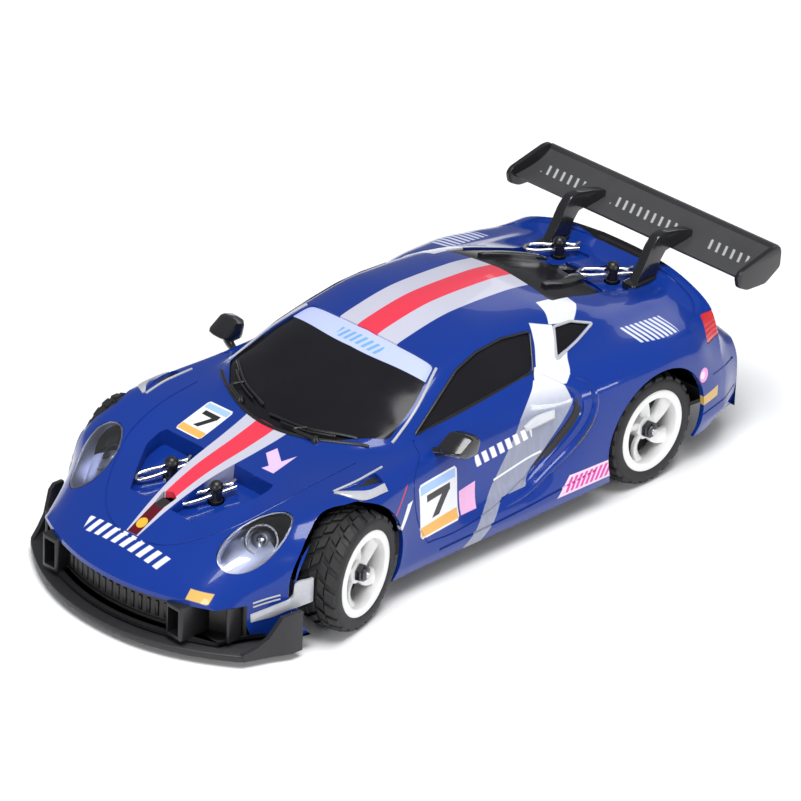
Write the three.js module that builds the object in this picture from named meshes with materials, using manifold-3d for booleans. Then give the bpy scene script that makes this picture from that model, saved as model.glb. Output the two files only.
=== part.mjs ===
// Small-scale radio-controlled touring car: painted shell with a tall rear wing on a tray
// chassis, sprung and steered front wheels, and a rear axle driven by a geared motor.
// Millimetres. +X is forward, +Y is the car's left, +Z is up, and the ground is z = 0.

import * as THREE from 'three';
import Module from 'manifold-3d';

const wasm = await Module();
wasm.setup();

// ---- Driving dimensions ----
const FRONT_AXLE_X = 47.4;
const REAR_AXLE_X = -47.6;
const TYRE_RADIUS = 13.5;
const TYRE_WIDTH = 9.5;
const AXLE_Z = TYRE_RADIUS;
const FRONT_WHEEL_Y = 34.2;
const REAR_WHEEL_Y = 31.8;
const RIM_RADIUS = 9.6;
const RIM_WALL = 0.8;
const ARCH_RADIUS = 15.8;
const ARCH_RELIEF = 1;
const STEER_AT_REST = THREE.MathUtils.degToRad(14);

const NOSE_X = 86;
const TAIL_X = -85;
const NOSE_BULGE = 11.5;
const TAIL_BULGE = 5;
const BULGE_HALF_WIDTH = 33;
const SHELL_WALL = 1.2;
const SHELL_TOP = 48;

const KINGPIN_Y = 30.5;
const KINGPIN_RADIUS = 0.75;
const STUB_RADIUS = 1.0;
const RUNNING_CLEARANCE = 0.1;
const ARM_BACK = 6.5;
const ARM_IN = 4.5;
const RACK_TRAVEL_PER_RADIAN = 6.29;
const TIE_ROD_Z = [9.3, 10.2];
const HORN_LENGTH = 6.5;
const LOWER_ARM_Z = [6.4, 7.4];
const UPPER_ARM_Z = [20.2, 21.2];
const KNUCKLE_Z = [11, 16];

const TRAY_Z = [4.9, 6.2];
const REAR_AXLE_RADIUS = 1.2;
const GEAR_Y = [8, 10.4];
const GEAR_MODULE = 0.35;
const SPUR_TEETH = 36;
const PINION_TEETH = 12;
const GEAR_CENTRES = GEAR_MODULE * (SPUR_TEETH + PINION_TEETH) / 2 + 0.1;
const MOTOR_X = REAR_AXLE_X + GEAR_CENTRES;

const FRONT_POST = { x: 59.6, y: 7, top: 26.8 };
const REAR_POST = { x: -62.9, y: 8.3, top: 38.7 };
const POST_RADIUS = 1.2;
const POST_BALL = 1.55;
const CLIP_WIRE = 0.4;
const CLIP_LENGTH = 13;
const CLIP_DROP = 2.3;
const CLIPS = {
  front: { post: FRONT_POST, yaw: Math.PI - 0.43, pitch: 0.22 },
  rear: { post: REAR_POST, yaw: Math.PI - 0.6, pitch: 0 },
};
const WELL_DEPTH = 5.4;

const WING_SPAN = 35.6;
const WING_CHORD = [[-88.3, 45.1], [-74.9, 41]];

// ---- Outer surface of the shell ----
// Each curve runs from nose to tail as [x, y, z]; together they give half a cross-section,
// from the bottom edge of the side, over the fender and the cabin, to the centre line.
const BODY_CURVES = [
  // bottom edge
  [[86, 27, 3.6], [80, 29, 3.6], [74, 32, 3.6], [61, 36, 3.6], [30, 35.2, 5.6], [-33, 36.6, 5.6], [-62, 36.4, 6.6], [-85, 31.5, 7]],
  // lower side
  [[86, 27.6, 7], [80, 30, 7.6], [74, 32.6, 8], [61, 36.8, 9], [30, 35.9, 8.6], [0, 36.4, 8.4], [-33, 37.6, 9], [-48.5, 38.6, 12],
    [-62, 37.6, 11], [-76, 36.4, 11], [-85, 32.6, 11]],
  // waist
  [[86, 27.6, 10.5], [80, 30, 12], [72, 33.2, 14], [61, 36.9, 16.5], [47, 38, 21], [30, 35.9, 18], [10, 33.9, 16],
    [-8, 33.8, 16], [-26, 37, 19], [-48.5, 39, 22], [-62, 38, 19], [-76, 36.3, 16], [-85, 32.8, 15]],
  // shoulder
  [[86, 26.4, 12.4], [80, 29.2, 14.8], [70, 32.6, 18.6], [61, 35.6, 22.4], [47, 36.8, 27], [34, 35.4, 27],
    [22, 33.8, 26.4], [5, 32.8, 25.6], [-10, 32.8, 26.5], [-22, 35, 28.5], [-36, 37.4, 30],
    [-48.5, 38, 30.5], [-60, 37.2, 28.5], [-70, 35.6, 25], [-76, 35, 22], [-85, 32.4, 19]],
  // fender crown
  [[86, 24, 13.2], [82, 26, 15.6], [74, 28, 19.8], [66, 29, 23.8], [57, 30, 27.8], [46, 31, 30.2],
    [34, 31.2, 30.9], [22, 31, 31], [5, 30.2, 32], [-10, 30, 33], [-26, 32, 34.2], [-40, 33.4, 34.8],
    [-50, 33.2, 34.6], [-60, 32, 33.8], [-68, 30.8, 33.2], [-75.4, 30, 33.4], [-76.6, 31, 27.5], [-85, 29, 23]],
  // hood valley and window sill
  [[86, 20, 13.3], [83, 20.6, 16], [76, 21.5, 20.2], [66, 22.5, 24.4], [57, 23.6, 27.8], [45.5, 25, 30.2],
    [34, 26.4, 31], [22, 27.6, 31.8], [5, 28.2, 33.8], [-10, 28, 35.2], [-26, 27.6, 36.4], [-40, 26.4, 36.8],
    [-50, 25.6, 36], [-60, 24.4, 35.2], [-68, 23.6, 34.8], [-75.4, 22, 36.4], [-76.6, 23, 28], [-85, 21, 23.4]],
  // side glass
  [[86, 14, 13.3], [83, 14.5, 16.1], [76, 15, 20.2], [66, 16, 24.5], [57, 17, 27.3], [45.5, 18.5, 29.8],
    [36, 21, 31.2], [26, 25.2, 32.4], [14, 25.8, 35.6], [5, 24.8, 38.4], [-10, 24.2, 40.4], [-26, 23.8, 40.6],
    [-40, 22.6, 39.2], [-50, 21.4, 37.6], [-60, 19.6, 36.4], [-68, 18.4, 35.6], [-75.4, 15, 37.6],
    [-76.6, 16, 28], [-85, 14, 23.6]],
  // roof rail
  [[86, 9, 13.3], [83, 9.5, 16.1], [76, 10, 20.1], [66, 11, 24.5], [57, 12, 27.4], [45.5, 13, 29.7],
    [38, 16, 31.2], [30, 21, 33], [22, 23.6, 34.8], [14, 22.6, 38.4], [5, 20.6, 42.1], [-10, 19.6, 44.4],
    [-26, 19, 43.8], [-35, 18.2, 42.8], [-50, 16.2, 38.9], [-57, 15, 37], [-62, 14, 36], [-68, 13, 35.6],
    [-75.4, 9, 38], [-76.6, 10, 28.4], [-85, 8, 24]],
  // roof, halfway in
  [[86, 4.5, 13.3], [83, 4.8, 16.1], [76, 5, 20.1], [66, 5.5, 24.7], [57, 6, 27.6], [45.5, 7, 29.8],
    [38, 8.5, 31.5], [30, 11, 34.6], [22, 12.4, 37.8], [14, 12, 41.3], [5, 11, 44.1], [-10, 10.4, 46],
    [-26, 10, 45.3], [-35, 9.6, 44], [-50, 9, 39.9], [-57, 8.6, 37.6], [-62, 8, 36.2], [-68, 7, 35.7],
    [-75.4, 4.5, 38.2], [-76.6, 5, 28.6], [-85, 4, 24]],
  // centre line
  [[86, 0, 13.3], [83, 0, 16.2], [76, 0, 20.1], [66, 0, 24.8], [57, 0, 27.6], [45.5, 0, 29.8], [38, 0, 31.6],
    [30, 0, 35.2], [22, 0, 38.6], [14, 0, 42], [5, 0, 45], [-10, 0, 46.7], [-26, 0, 46], [-35, 0, 44.7],
    [-50, 0, 40.4], [-57, 0, 38], [-62, 0, 36.4], [-68, 0, 35.8], [-75.4, 0, 38.2], [-76.6, 0, 28.6],
    [-85, 0, 24]],
];

// Slopes of a monotone cubic through [position, value] pairs.
function monotoneSlopes(at, value) {
  const step = at.slice(1).map((next, i) => next - at[i]);
  const rise = step.map((width, i) => (value[i + 1] - value[i]) / width);
  const inner = rise.slice(1).map((after, i) => {
    const before = rise[i];
    if (before * after <= 0) return 0;
    const w1 = 2 * step[i + 1] + step[i];
    const w2 = step[i + 1] + 2 * step[i];
    return (w1 + w2) / (w1 / before + w2 / after);
  });
  return [rise[0], ...inner, rise[rise.length - 1]];
}

function monotoneCubic(at, value) {
  const slope = monotoneSlopes(at, value);
  return (t) => {
    const clamped = Math.min(Math.max(t, at[0]), at[at.length - 1]);
    let i = 0;
    while (i < at.length - 2 && clamped > at[i + 1]) i += 1;
    const width = at[i + 1] - at[i];
    const u = (clamped - at[i]) / width;
    const h10 = u * (1 - u) ** 2;
    const h01 = u * u * (3 - 2 * u);
    const h11 = u * u * (u - 1);
    return value[i] * (1 - h01) + value[i + 1] * h01 + width * (slope[i] * h10 + slope[i + 1] * h11);
  };
}

const CURVE_FUNCTIONS = BODY_CURVES.map((keys) => {
  const ordered = [...keys].reverse();
  const at = ordered.map((key) => key[0]);
  return {
    y: monotoneCubic(at, ordered.map((key) => key[1])),
    z: monotoneCubic(at, ordered.map((key) => key[2])),
  };
});

// Half a cross-section at one station, as [y, z] points from the bottom edge to the centre.
function halfSection(station, perSpan) {
  const knots = CURVE_FUNCTIONS.map((curve) => [curve.y(station), curve.z(station)]);
  const at = [0];
  knots.slice(1).forEach((knot, i) => {
    at.push(at[i] + Math.hypot(knot[0] - knots[i][0], knot[1] - knots[i][1]));
  });
  const y = monotoneCubic(at, knots.map((knot) => knot[0]));
  const z = monotoneCubic(at, knots.map((knot) => knot[1]));
  const points = [knots[0]];
  for (let i = 0; i < knots.length - 1; i += 1) {
    for (let j = 1; j <= perSpan; j += 1) {
      const t = at[i] + (at[i + 1] - at[i]) * j / perSpan;
      points.push([y(t), z(t)]);
    }
  }
  points[points.length - 1] = knots[knots.length - 1];
  return points;
}

// The nose and the tail are rounded in plan, so a station there is a bowed plane.
function bowedX(station, y) {
  const nose = NOSE_BULGE * THREE.MathUtils.smoothstep(station, 56, NOSE_X);
  const tail = TAIL_BULGE * THREE.MathUtils.smoothstep(-station, 60, -TAIL_X);
  return station + (tail - nose) * (y / BULGE_HALF_WIDTH) ** 2;
}

function stationList(step) {
  const stations = [];
  for (let x = TAIL_X; x < NOSE_X - 4; x += step) stations.push(x);
  stations.push(-75.4, -76.6, 83, NOSE_X);
  return stations.sort((a, b) => a - b);
}

const FINE = { stations: stationList(7.3), perSpan: 2 };
const COARSE = { stations: stationList(10.6), perSpan: 1 };

// A closed solid under the outer surface, drawn in by inset and closed at the level floor.
function bodySolid(inset, floor, detail = COARSE) {
  const shrink = (BULGE_HALF_WIDTH - inset) / BULGE_HALF_WIDTH;
  const { stations, perSpan } = detail;
  const rings = stations.map((station) => {
    const held = Math.min(Math.max(station, TAIL_X + inset), NOSE_X - inset);
    const half = halfSection(held, perSpan);
    const ahead = inset > 0 ? halfSection(Math.min(held + inset, NOSE_X), perSpan) : half;
    const behind = inset > 0 ? halfSection(Math.max(held - inset, TAIL_X), perSpan) : half;
    const top = half.map(([y, z], i) => [y * shrink, Math.min(z, ahead[i][1], behind[i][1]) - inset]);
    if (inset > 0) top[0][1] = floor + 0.01;
    const across = [...top, ...top.slice(0, -1).reverse().map(([y, z]) => [-y, z])];
    const upper = across.map(([y, z]) => new THREE.Vector3(bowedX(held, y / shrink), y, z));
    const lower = across.map(([y]) => new THREE.Vector3(bowedX(held, y / shrink), y, floor));
    return { upper, lower };
  });
  return loftSolid(rings);
}

function loftSolid(rings) {
  const across = rings[0].upper.length;
  const positions = [];
  rings.forEach(({ upper, lower }) => [...upper, ...lower].forEach((p) => positions.push(p.x, p.y, p.z)));
  const index = [];
  const quad = (a, b, c, d) => index.push(a, c, b, a, d, c);
  const at = (ring, k) => ring * across * 2 + k;
  for (let r = 0; r < rings.length - 1; r += 1) {
    for (let k = 0; k < across - 1; k += 1) {
      quad(at(r, k), at(r + 1, k), at(r + 1, k + 1), at(r, k + 1));
      quad(at(r, across + k + 1), at(r + 1, across + k + 1), at(r + 1, across + k), at(r, across + k));
    }
    quad(at(r, across), at(r + 1, across), at(r + 1, 0), at(r, 0));
    quad(at(r, across - 1), at(r + 1, across - 1), at(r + 1, 2 * across - 1), at(r, 2 * across - 1));
  }
  const last = rings.length - 1;
  for (let k = 0; k < across - 1; k += 1) {
    quad(at(0, k), at(0, k + 1), at(0, across + k + 1), at(0, across + k));
    quad(at(last, across + k), at(last, across + k + 1), at(last, k + 1), at(last, k));
  }
  const geometry = new THREE.BufferGeometry();
  geometry.setAttribute('position', new THREE.Float32BufferAttribute(positions, 3));
  geometry.setIndex(index);
  return solid(geometry);
}

// ---- Solids ----
function mergeVertices(geometry) {
  const source = geometry.index ? geometry.toNonIndexed() : geometry;
  const position = source.attributes.position;
  const seen = new Map();
  const vertices = [];
  const triangles = [];
  for (let i = 0; i < position.count; i += 1) {
    const p = [position.getX(i), position.getY(i), position.getZ(i)];
    const key = p.map((value) => Math.round(value * 1e4)).join(',');
    if (!seen.has(key)) {
      seen.set(key, vertices.length / 3);
      vertices.push(...p);
    }
    triangles.push(seen.get(key));
  }
  return { vertices, triangles };
}

function withoutSlivers(triangles) {
  const kept = [];
  for (let i = 0; i < triangles.length; i += 3) {
    const [a, b, c] = triangles.slice(i, i + 3);
    if (a !== b && b !== c && a !== c) kept.push(a, b, c);
  }
  return kept;
}

function solid(geometry) {
  const { vertices, triangles } = mergeVertices(geometry);
  return new wasm.Manifold(new wasm.Mesh({
    numProp: 3,
    vertProperties: new Float32Array(vertices),
    triVerts: new Uint32Array(withoutSlivers(triangles)),
  }));
}

function toGeometry(body) {
  const mesh = body.getMesh();
  const geometry = new THREE.BufferGeometry();
  geometry.setAttribute('position', new THREE.BufferAttribute(new Float32Array(mesh.vertProperties), 3));
  geometry.setIndex(new THREE.BufferAttribute(new Uint32Array(mesh.triVerts), 1));
  return geometry;
}

// A box from its limits along each axis.
function block([x0, x1], [y0, y1], [z0, z1]) {
  const geometry = new THREE.BoxGeometry(x1 - x0, y1 - y0, z1 - z0);
  geometry.translate((x0 + x1) / 2, (y0 + y1) / 2, (z0 + z1) / 2);
  return solid(geometry);
}

function rodGeometry(radius, from, to, sides = 20) {
  const start = new THREE.Vector3(...from);
  const end = new THREE.Vector3(...to);
  const along = end.clone().sub(start);
  const geometry = new THREE.CylinderGeometry(radius, radius, along.length(), sides);
  const turn = new THREE.Quaternion().setFromUnitVectors(new THREE.Vector3(0, 1, 0), along.normalize());
  geometry.applyQuaternion(turn);
  const middle = start.add(end).multiplyScalar(0.5);
  geometry.translate(middle.x, middle.y, middle.z);
  return geometry;
}

function rod(radius, from, to, sides) {
  return solid(rodGeometry(radius, from, to, sides));
}

function ball(radius, [x, y, z]) {
  const geometry = new THREE.SphereGeometry(radius, 12, 7);
  geometry.translate(x, y, z);
  return solid(geometry);
}

// Outlines are [x, z] for side profiles and [x, y] for plans.
function sideProfile(outline, [y0, y1]) {
  const shape = new THREE.Shape(outline.map(([x, z]) => new THREE.Vector2(x, z)));
  const geometry = new THREE.ExtrudeGeometry(shape, { depth: y1 - y0, bevelEnabled: false });
  geometry.rotateX(Math.PI / 2);
  geometry.translate(0, y1, 0);
  return solid(geometry);
}

function plate(outline, [z0, z1]) {
  const shape = new THREE.Shape(outline.map(([x, y]) => new THREE.Vector2(x, y)));
  const geometry = new THREE.ExtrudeGeometry(shape, { depth: z1 - z0, bevelEnabled: false });
  geometry.translate(0, 0, z0);
  return solid(geometry);
}

function mirroredPlan(half) {
  return [...half, ...[...half].reverse().filter(([, y]) => y !== 0).map(([x, y]) => [x, -y])];
}

function union(parts) {
  return parts.reduce((whole, part) => whole.add(part));
}

function largestOf(body) {
  return body.decompose().sort((a, b) => b.volume() - a.volume())[0];
}

const SIDES = [['left', 1], ['right', -1]];
const car = new THREE.Group();

function addPart(name, body, [color, roughness, metalness], placing = {}) {
  const material = new THREE.MeshStandardMaterial({ color, roughness, metalness });
  const mesh = new THREE.Mesh(toGeometry(body), material);
  mesh.name = name;
  mesh.position.set(...(placing.position ?? [0, 0, 0]));
  mesh.rotation.z = placing.turn ?? 0;
  car.add(mesh);
}

const BLUE_PAINT = [0x1b2f8a, 0.2, 0.2];
const DARK_GLASS = [0x0c0c0f, 0.1, 0];
const SATIN_BLACK = [0x151517, 0.45, 0];
const CHARCOAL = [0x232327, 0.6, 0];
const WHITE_NYLON = [0xf1f1ee, 0.4, 0];
const TYRE_RUBBER = [0x141414, 0.85, 0];
const STEEL = [0xc8cacd, 0.25, 1];
const DARK_STEEL = [0x35373b, 0.35, 0.9];
const CLEAR_LENS = [0xe4e9f2, 0.05, 0];
const CHASSIS_BLACK = [0x1d1e20, 0.6, 0];

// ---- Shell ----
const SIDE_WINDOW = [[19, 32.8], [-19.5, 36.4], [-19.5, 42.3], [-8, 43.4], [1, 41.9], [10, 38.4]];
const QUARTER_WINDOW = [[-24.8, 42.2], [-33, 41], [-39, 38.4], [-25.8, 37.6]];
const WINDSCREEN = [[37.6, 0], [36, 10], [31, 18], [24, 24], [6.4, 19], [7.6, 10], [8, 0]];
const REAR_WINDOW = [[-34.6, 0], [-34.2, 8], [-33.4, 16.6], [-46, 15.6], [-56, 13.6], [-58, 7], [-58, 0]];
const HEADLIGHT = { at: [64.4, 24.4, 22.1], along: [-16.5, 5, 9.4], facing: [0.5, 0.4, 0.77], half: [9.6, 5.2] };
const TAIL_LIGHT = [[-66.5, 28.4], [-78, 28], [-78, 32.6], [-68.5, 33.2]];

function shrunk(outline, amount) {
  const cx = outline.reduce((sum, p) => sum + p[0], 0) / outline.length;
  const cy = outline.reduce((sum, p) => sum + p[1], 0) / outline.length;
  return outline.map(([x, y]) => {
    const reach = Math.hypot(x - cx, y - cy);
    const factor = (reach - amount) / reach;
    return [cx + (x - cx) * factor, cy + (y - cy) * factor];
  });
}

function headlightPrism(side, margin) {
  const { at, along, facing, half } = HEADLIGHT;
  const u = new THREE.Vector3(along[0], along[1] * side, along[2]).normalize();
  const n = new THREE.Vector3(facing[0], facing[1] * side, facing[2]);
  n.addScaledVector(u, -n.dot(u)).normalize();
  const v = new THREE.Vector3().crossVectors(n, u);
  const shape = new THREE.Shape().absellipse(0, 0, half[0] - margin, half[1] - margin, 0, Math.PI * 2, false, 0);
  const depth = 14;
  const geometry = new THREE.ExtrudeGeometry(shape, { depth, bevelEnabled: false, curveSegments: 12 });
  geometry.translate(0, 0, -depth / 2);
  geometry.applyMatrix4(new THREE.Matrix4().makeBasis(u, v, n));
  geometry.translate(at[0], at[1] * side, at[2]);
  return solid(geometry);
}

function sideCutter(outline, margin, side) {
  const cut = shrunk(outline, margin);
  return sideProfile(cut, side > 0 ? [14, 42] : [-42, -14]);
}

function tailLightCutter(margin, side) {
  return sideProfile(shrunk(TAIL_LIGHT, margin), side > 0 ? [25 + margin, 42] : [-42, -25 - margin]);
}

function windowCutters(margin) {
  const panes = SIDES.flatMap(([, side]) => [
    sideCutter(SIDE_WINDOW, margin, side),
    sideCutter(QUARTER_WINDOW, margin, side),
  ]);
  const front = plate(shrunk(mirroredPlan(WINDSCREEN), margin), [30, SHELL_TOP]);
  const rear = plate(shrunk(mirroredPlan(REAR_WINDOW), margin), [34, SHELL_TOP]);
  return union([...panes, front, rear]);
}

const outerBody = bodySolid(0, 3.6, FINE);
const innerBody = bodySolid(SHELL_WALL, -4);

// Inside the lip the front arch is longer both ways, so that a steered tyre clears it.
function wheelArches() {
  const arch = (x, side, outer) => rod(ARCH_RADIUS, [x, side * 24, AXLE_Z], [x, side * outer, AXLE_Z], 28);
  return union(SIDES.flatMap(([, side]) => [
    arch(FRONT_AXLE_X, side, 44),
    arch(FRONT_AXLE_X - ARCH_RELIEF, side, 34.9),
    arch(FRONT_AXLE_X + ARCH_RELIEF, side, 34.9),
    arch(REAR_AXLE_X, side, 44),
  ]));
}

function postHoles() {
  const posts = [FRONT_POST, REAR_POST];
  return union(posts.flatMap(({ x, y, top }) => SIDES.map(([, side]) => (
    rod(1.9, [x, side * y, top - 9], [x, side * y, top + 6], 16)
  ))));
}

// Each post stands in a sunken well that leaves room for its clip.
function wells(grow, depth, height) {
  return union(Object.values(CLIPS).flatMap(({ post, yaw }) => SIDES.map(([, side]) => {
    const well = block([-9.4 - grow, 6.6 + grow], [-2.2 - grow, 4 + grow], [post.top - depth, post.top + height]);
    return well.rotate([0, 0, yaw * 180 / Math.PI]).translate([post.x, side * post.y, 0]);
  })));
}

// The skirt between the wheels sits higher than the two bumpers.
function skirtTrim() {
  return block([-61, 59], [-45, 45], [-2, 5.6]).add(block([TAIL_X - 6, -60], [-45, 45], [-2, 6.8]));
}

function makeShell() {
  const grille = block([70, 92], [-29.6, 29.6], [4.4, 12.2]);
  const rearVent = block([-92, -80], [-22, 22], [9, 14]);
  const lights = SIDES.flatMap(([, side]) => [headlightPrism(side, 0), tailLightCutter(0, side)]);
  const openings = union([grille, rearVent, windowCutters(0), wheelArches(), postHoles(), ...lights]);
  const tubs = wells(1, WELL_DEPTH + 1, 9).intersect(outerBody);
  const skin = outerBody.subtract(innerBody).add(tubs).subtract(wells(0, WELL_DEPTH, 9));
  addPart('body_shell', largestOf(skin.subtract(openings).subtract(skirtTrim())), BLUE_PAINT);
}

function makeWindows() {
  const liner = bodySolid(SHELL_WALL + 0.3, 30).subtract(bodySolid(SHELL_WALL + 1.2, 28));
  const cabin = block([-58.4, 37], [-27, 27], [31.5, SHELL_TOP]);
  const panes = bodySolid(0.3, 28).subtract(bodySolid(SHELL_WALL + 1.2, 26)).intersect(windowCutters(0.5));
  const insert = liner.intersect(cabin).add(panes.intersect(cabin)).subtract(wells(1.3, WELL_DEPTH + 2, 9));
  addPart('window_insert', largestOf(insert), DARK_GLASS);
}

function makeLights() {
  SIDES.forEach(([name, side]) => {
    const lensBody = bodySolid(0.1, 2).subtract(bodySolid(1, 0)).intersect(headlightPrism(side, 0.25));
    addPart(`headlight_lens_${name}`, lensBody, CLEAR_LENS);
    const bucket = bodySolid(2.6, 2).subtract(bodySolid(4, 0)).intersect(headlightPrism(side, 0.4));
    const [x, y, z] = HEADLIGHT.at;
    const projector = rod(1.9, [x - 1.9, side * (y - 1.8), z - 5.4], [x + 0.2, side * (y - 0.4), z - 2.2], 16);
    const wheelSpace = rod(14.8, [FRONT_AXLE_X, side * 20, AXLE_Z], [FRONT_AXLE_X, side * 44, AXLE_Z], 24);
    addPart(`headlight_bucket_${name}`, largestOf(bucket.subtract(wheelSpace).add(projector)), [0x8d93a3, 0.3, 0.6]);
    const tail = bodySolid(0.1, 2).subtract(bodySolid(1.1, 0)).intersect(tailLightCutter(0.25, side));
    addPart(`tail_light_${name}`, largestOf(tail), [0xb3202c, 0.15, 0]);
  });
}

function makeMirrors() {
  SIDES.forEach(([name, side]) => {
    const head = sideProfile([[19.4, 32.2], [16.4, 30.4], [12.6, 30.4], [11.6, 34.2], [14.6, 35.2]], [-3.4, 3.2]);
    const stalk = rod(0.8, [16, -3, 31.4], [18, -5.6, 30.2], 10);
    const mirror = head.add(stalk);
    const placed = side > 0 ? mirror.translate([0, 36, 0]) : mirror.mirror([0, 1, 0]).translate([0, -36, 0]);
    const clear = placed.subtract(bodySolid(-0.2, 2, FINE));
    addPart(`mirror_${name}`, largestOf(clear), SATIN_BLACK);
  });
}

// ---- Aerodynamic trim ----
function makeSplitter() {
  const front = [];
  for (let i = 0; i <= 10; i += 1) {
    const y = 33.2 * i / 10;
    front.push([88.8 - 12 * (y / 33.2) ** 2.2, y]);
  }
  const outline = mirroredPlan([...front, [70, 35.8], [66, 37.8], [63.4, 38], [63.4, 28], [61, 20], [61, 0]]);
  const ends = SIDES.map(([, side]) => {
    const at = side * 37.6;
    const plateOutline = [[66, 1.6], [63.4, 1.6], [63.4, 10.2], [64.6, 9.4], [66.6, 5], [68, 3.2], [68, 1.6]];
    return sideProfile(plateOutline, [at - 0.4, at + 0.4]);
  });
  addPart('front_splitter', union([plate(outline, [1.6, 3.2]), ...ends]).subtract(bodySolid(-0.15, 3.4)), CHARCOAL);
}

function bowedWall(depth, halfWidth, [z0, z1], thickness) {
  const outer = [];
  const inner = [];
  for (let i = -6; i <= 6; i += 1) {
    const y = halfWidth * i / 6;
    const x = bowedX(NOSE_X, y) - depth;
    outer.push([x, y]);
    inner.unshift([x - thickness, y]);
  }
  return plate([...outer, ...inner], [z0, z1]);
}

function makeGrille() {
  const back = bowedWall(6, 26.4, [4, 12.6], 1);
  const panel = bowedWall(2.4, 17, [4.8, 11.4], 4);
  const boxes = SIDES.map(([, side]) => {
    const y = side * 19.4;
    const outerBox = block([76.5, 83.2], [y - 2.3, y + 2.3], [4.6, 12]);
    return outerBox.subtract(block([79, 86], [y - 1.7, y + 1.7], [5.4, 11.2]));
  });
  addPart('front_grille', union([back, panel, ...boxes]), SATIN_BLACK);
}

// The blade's section, grown all round by margin.
function bladeSolid(margin) {
  const [rear, front] = WING_CHORD;
  const sag = 1.3;
  const upper = [];
  const lower = [];
  for (let i = 0; i <= 8; i += 1) {
    const t = i / 8;
    const x = front[0] + (rear[0] - front[0]) * t + (0.5 - t) * 2 * margin;
    const z = front[1] + (rear[1] - front[1]) * t - sag * 4 * t * (1 - t);
    const thick = 0.5 + 0.9 * Math.sin(Math.PI * t ** 0.6) ** 2;
    upper.push([x, z + thick / 2 + margin]);
    lower.unshift([x, z - thick / 2 - margin]);
  }
  return sideProfile([...upper, ...lower], [-WING_SPAN + 0.5, WING_SPAN - 0.5]);
}

function makeWing() {
  const endOutline = [[-73.6, 40.2], [-75, 38.4], [-79.5, 38], [-86.5, 40.4], [-88.8, 43.6], [-88.7, 46], [-86, 46.2],
    [-75, 42.6]];
  const ends = SIDES.map(([, side]) => sideProfile(endOutline, [side * WING_SPAN - 0.55, side * WING_SPAN + 0.55]));
  addPart('rear_wing', union([bladeSolid(0), ...ends]), SATIN_BLACK);
}

function makeWingStays() {
  const outline = [[-62.8, 35.2], [-68.2, 35.4], [-71.6, 41], [-72.6, 42.4], [-74, 42.2], [-75, 40.4], [-81, 40.6],
    [-81.4, 43.2], [-76.2, 46.2], [-72.4, 46.9], [-70, 45.6], [-67.2, 41.4]];
  SIDES.forEach(([name, side]) => {
    const stay = sideProfile(outline, [side * 13.5 - 1.1, side * 13.5 + 1.1]);
    const foot = block([-68.4, -62.6], [side * 13.5 - 1.7, side * 13.5 + 1.7], [35.4, 36.8]);
    const trimmed = stay.add(foot).subtract(bodySolid(-0.15, 10, FINE)).subtract(bladeSolid(0.12));
    addPart(`wing_stay_${name}`, largestOf(trimmed), SATIN_BLACK);
  });
}

function makeDiffuser() {
  const floorPlate = plate(mirroredPlan([[-64, 0], [-64, 22], [-84, 25], [-86.4, 0]]), [4.8, 5.8]);
  const fins = [-16, -8, 0, 8, 16].map((y) => sideProfile([[-66, 4.9], [-84, 4.9], [-84.5, 2.8], [-70, 3.4]],
    [y - 0.4, y + 0.4]));
  addPart('rear_diffuser', union([floorPlate, ...fins]), CHARCOAL);
}

// ---- Chassis ----
function makeTray() {
  const outline = mirroredPlan([[72, 0], [72, 12], [58, 15], [34, 15], [26, 27], [-28, 27], [-34, 15.5], [-62, 15.5],
    [-62, 0]]);
  const floorPlate = plate(outline, TRAY_Z);
  const walls = SIDES.map(([, side]) => block([-27, 25], side > 0 ? [25.6, 27] : [-27, -25.6], [6, 11]));
  const ends = [[-27, -25.6], [23.6, 25]].map((span) => block(span, [-26, 26], [6, 9]));
  const frontTower = block([56.6, 62.6], [-11, 11], [6, 9.4]);
  const rearTower = block([-61.8, -57.6], [-11, 11], [6, 9.4]);
  addPart('chassis_tray', union([floorPlate, ...walls, ...ends, frontTower, rearTower]), CHASSIS_BLACK);
}

function makeBodyPost(name, post, base) {
  const columns = SIDES.flatMap(([, side]) => {
    const at = side * post.y;
    return [
      rod(POST_RADIUS, [post.x, at, base], [post.x, at, post.top], 14),
      ball(POST_BALL, [post.x, at, post.top]),
    ];
  });
  const bridge = block([post.x - 1.6, post.x + 1.6], [-post.y - 2, post.y + 2], [base, base + 5]);
  const holes = union(SIDES.map(([, side]) => clipHole(post, side)));
  addPart(name, union([...columns, bridge]).subtract(holes), SATIN_BLACK);
}

// ---- Body clips ----
function clipPlace({ post, yaw, pitch }, side) {
  const along = new THREE.Vector3(Math.cos(yaw) * Math.cos(pitch), Math.sin(yaw) * Math.cos(pitch), Math.sin(pitch));
  const across = new THREE.Vector3(-Math.sin(yaw), Math.cos(yaw), 0);
  const up = new THREE.Vector3().crossVectors(along, across);
  const basis = new THREE.Matrix4().makeBasis(along, across, up);
  return basis.setPosition(post.x, side * post.y, post.top - CLIP_DROP);
}

function clipHole(post, side) {
  const clip = post === FRONT_POST ? CLIPS.front : CLIPS.rear;
  const geometry = rodGeometry(CLIP_WIRE + 0.15, [-3, 0, 0], [3, 0, 0], 10);
  geometry.applyMatrix4(clipPlace(clip, side));
  return solid(geometry);
}

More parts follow.
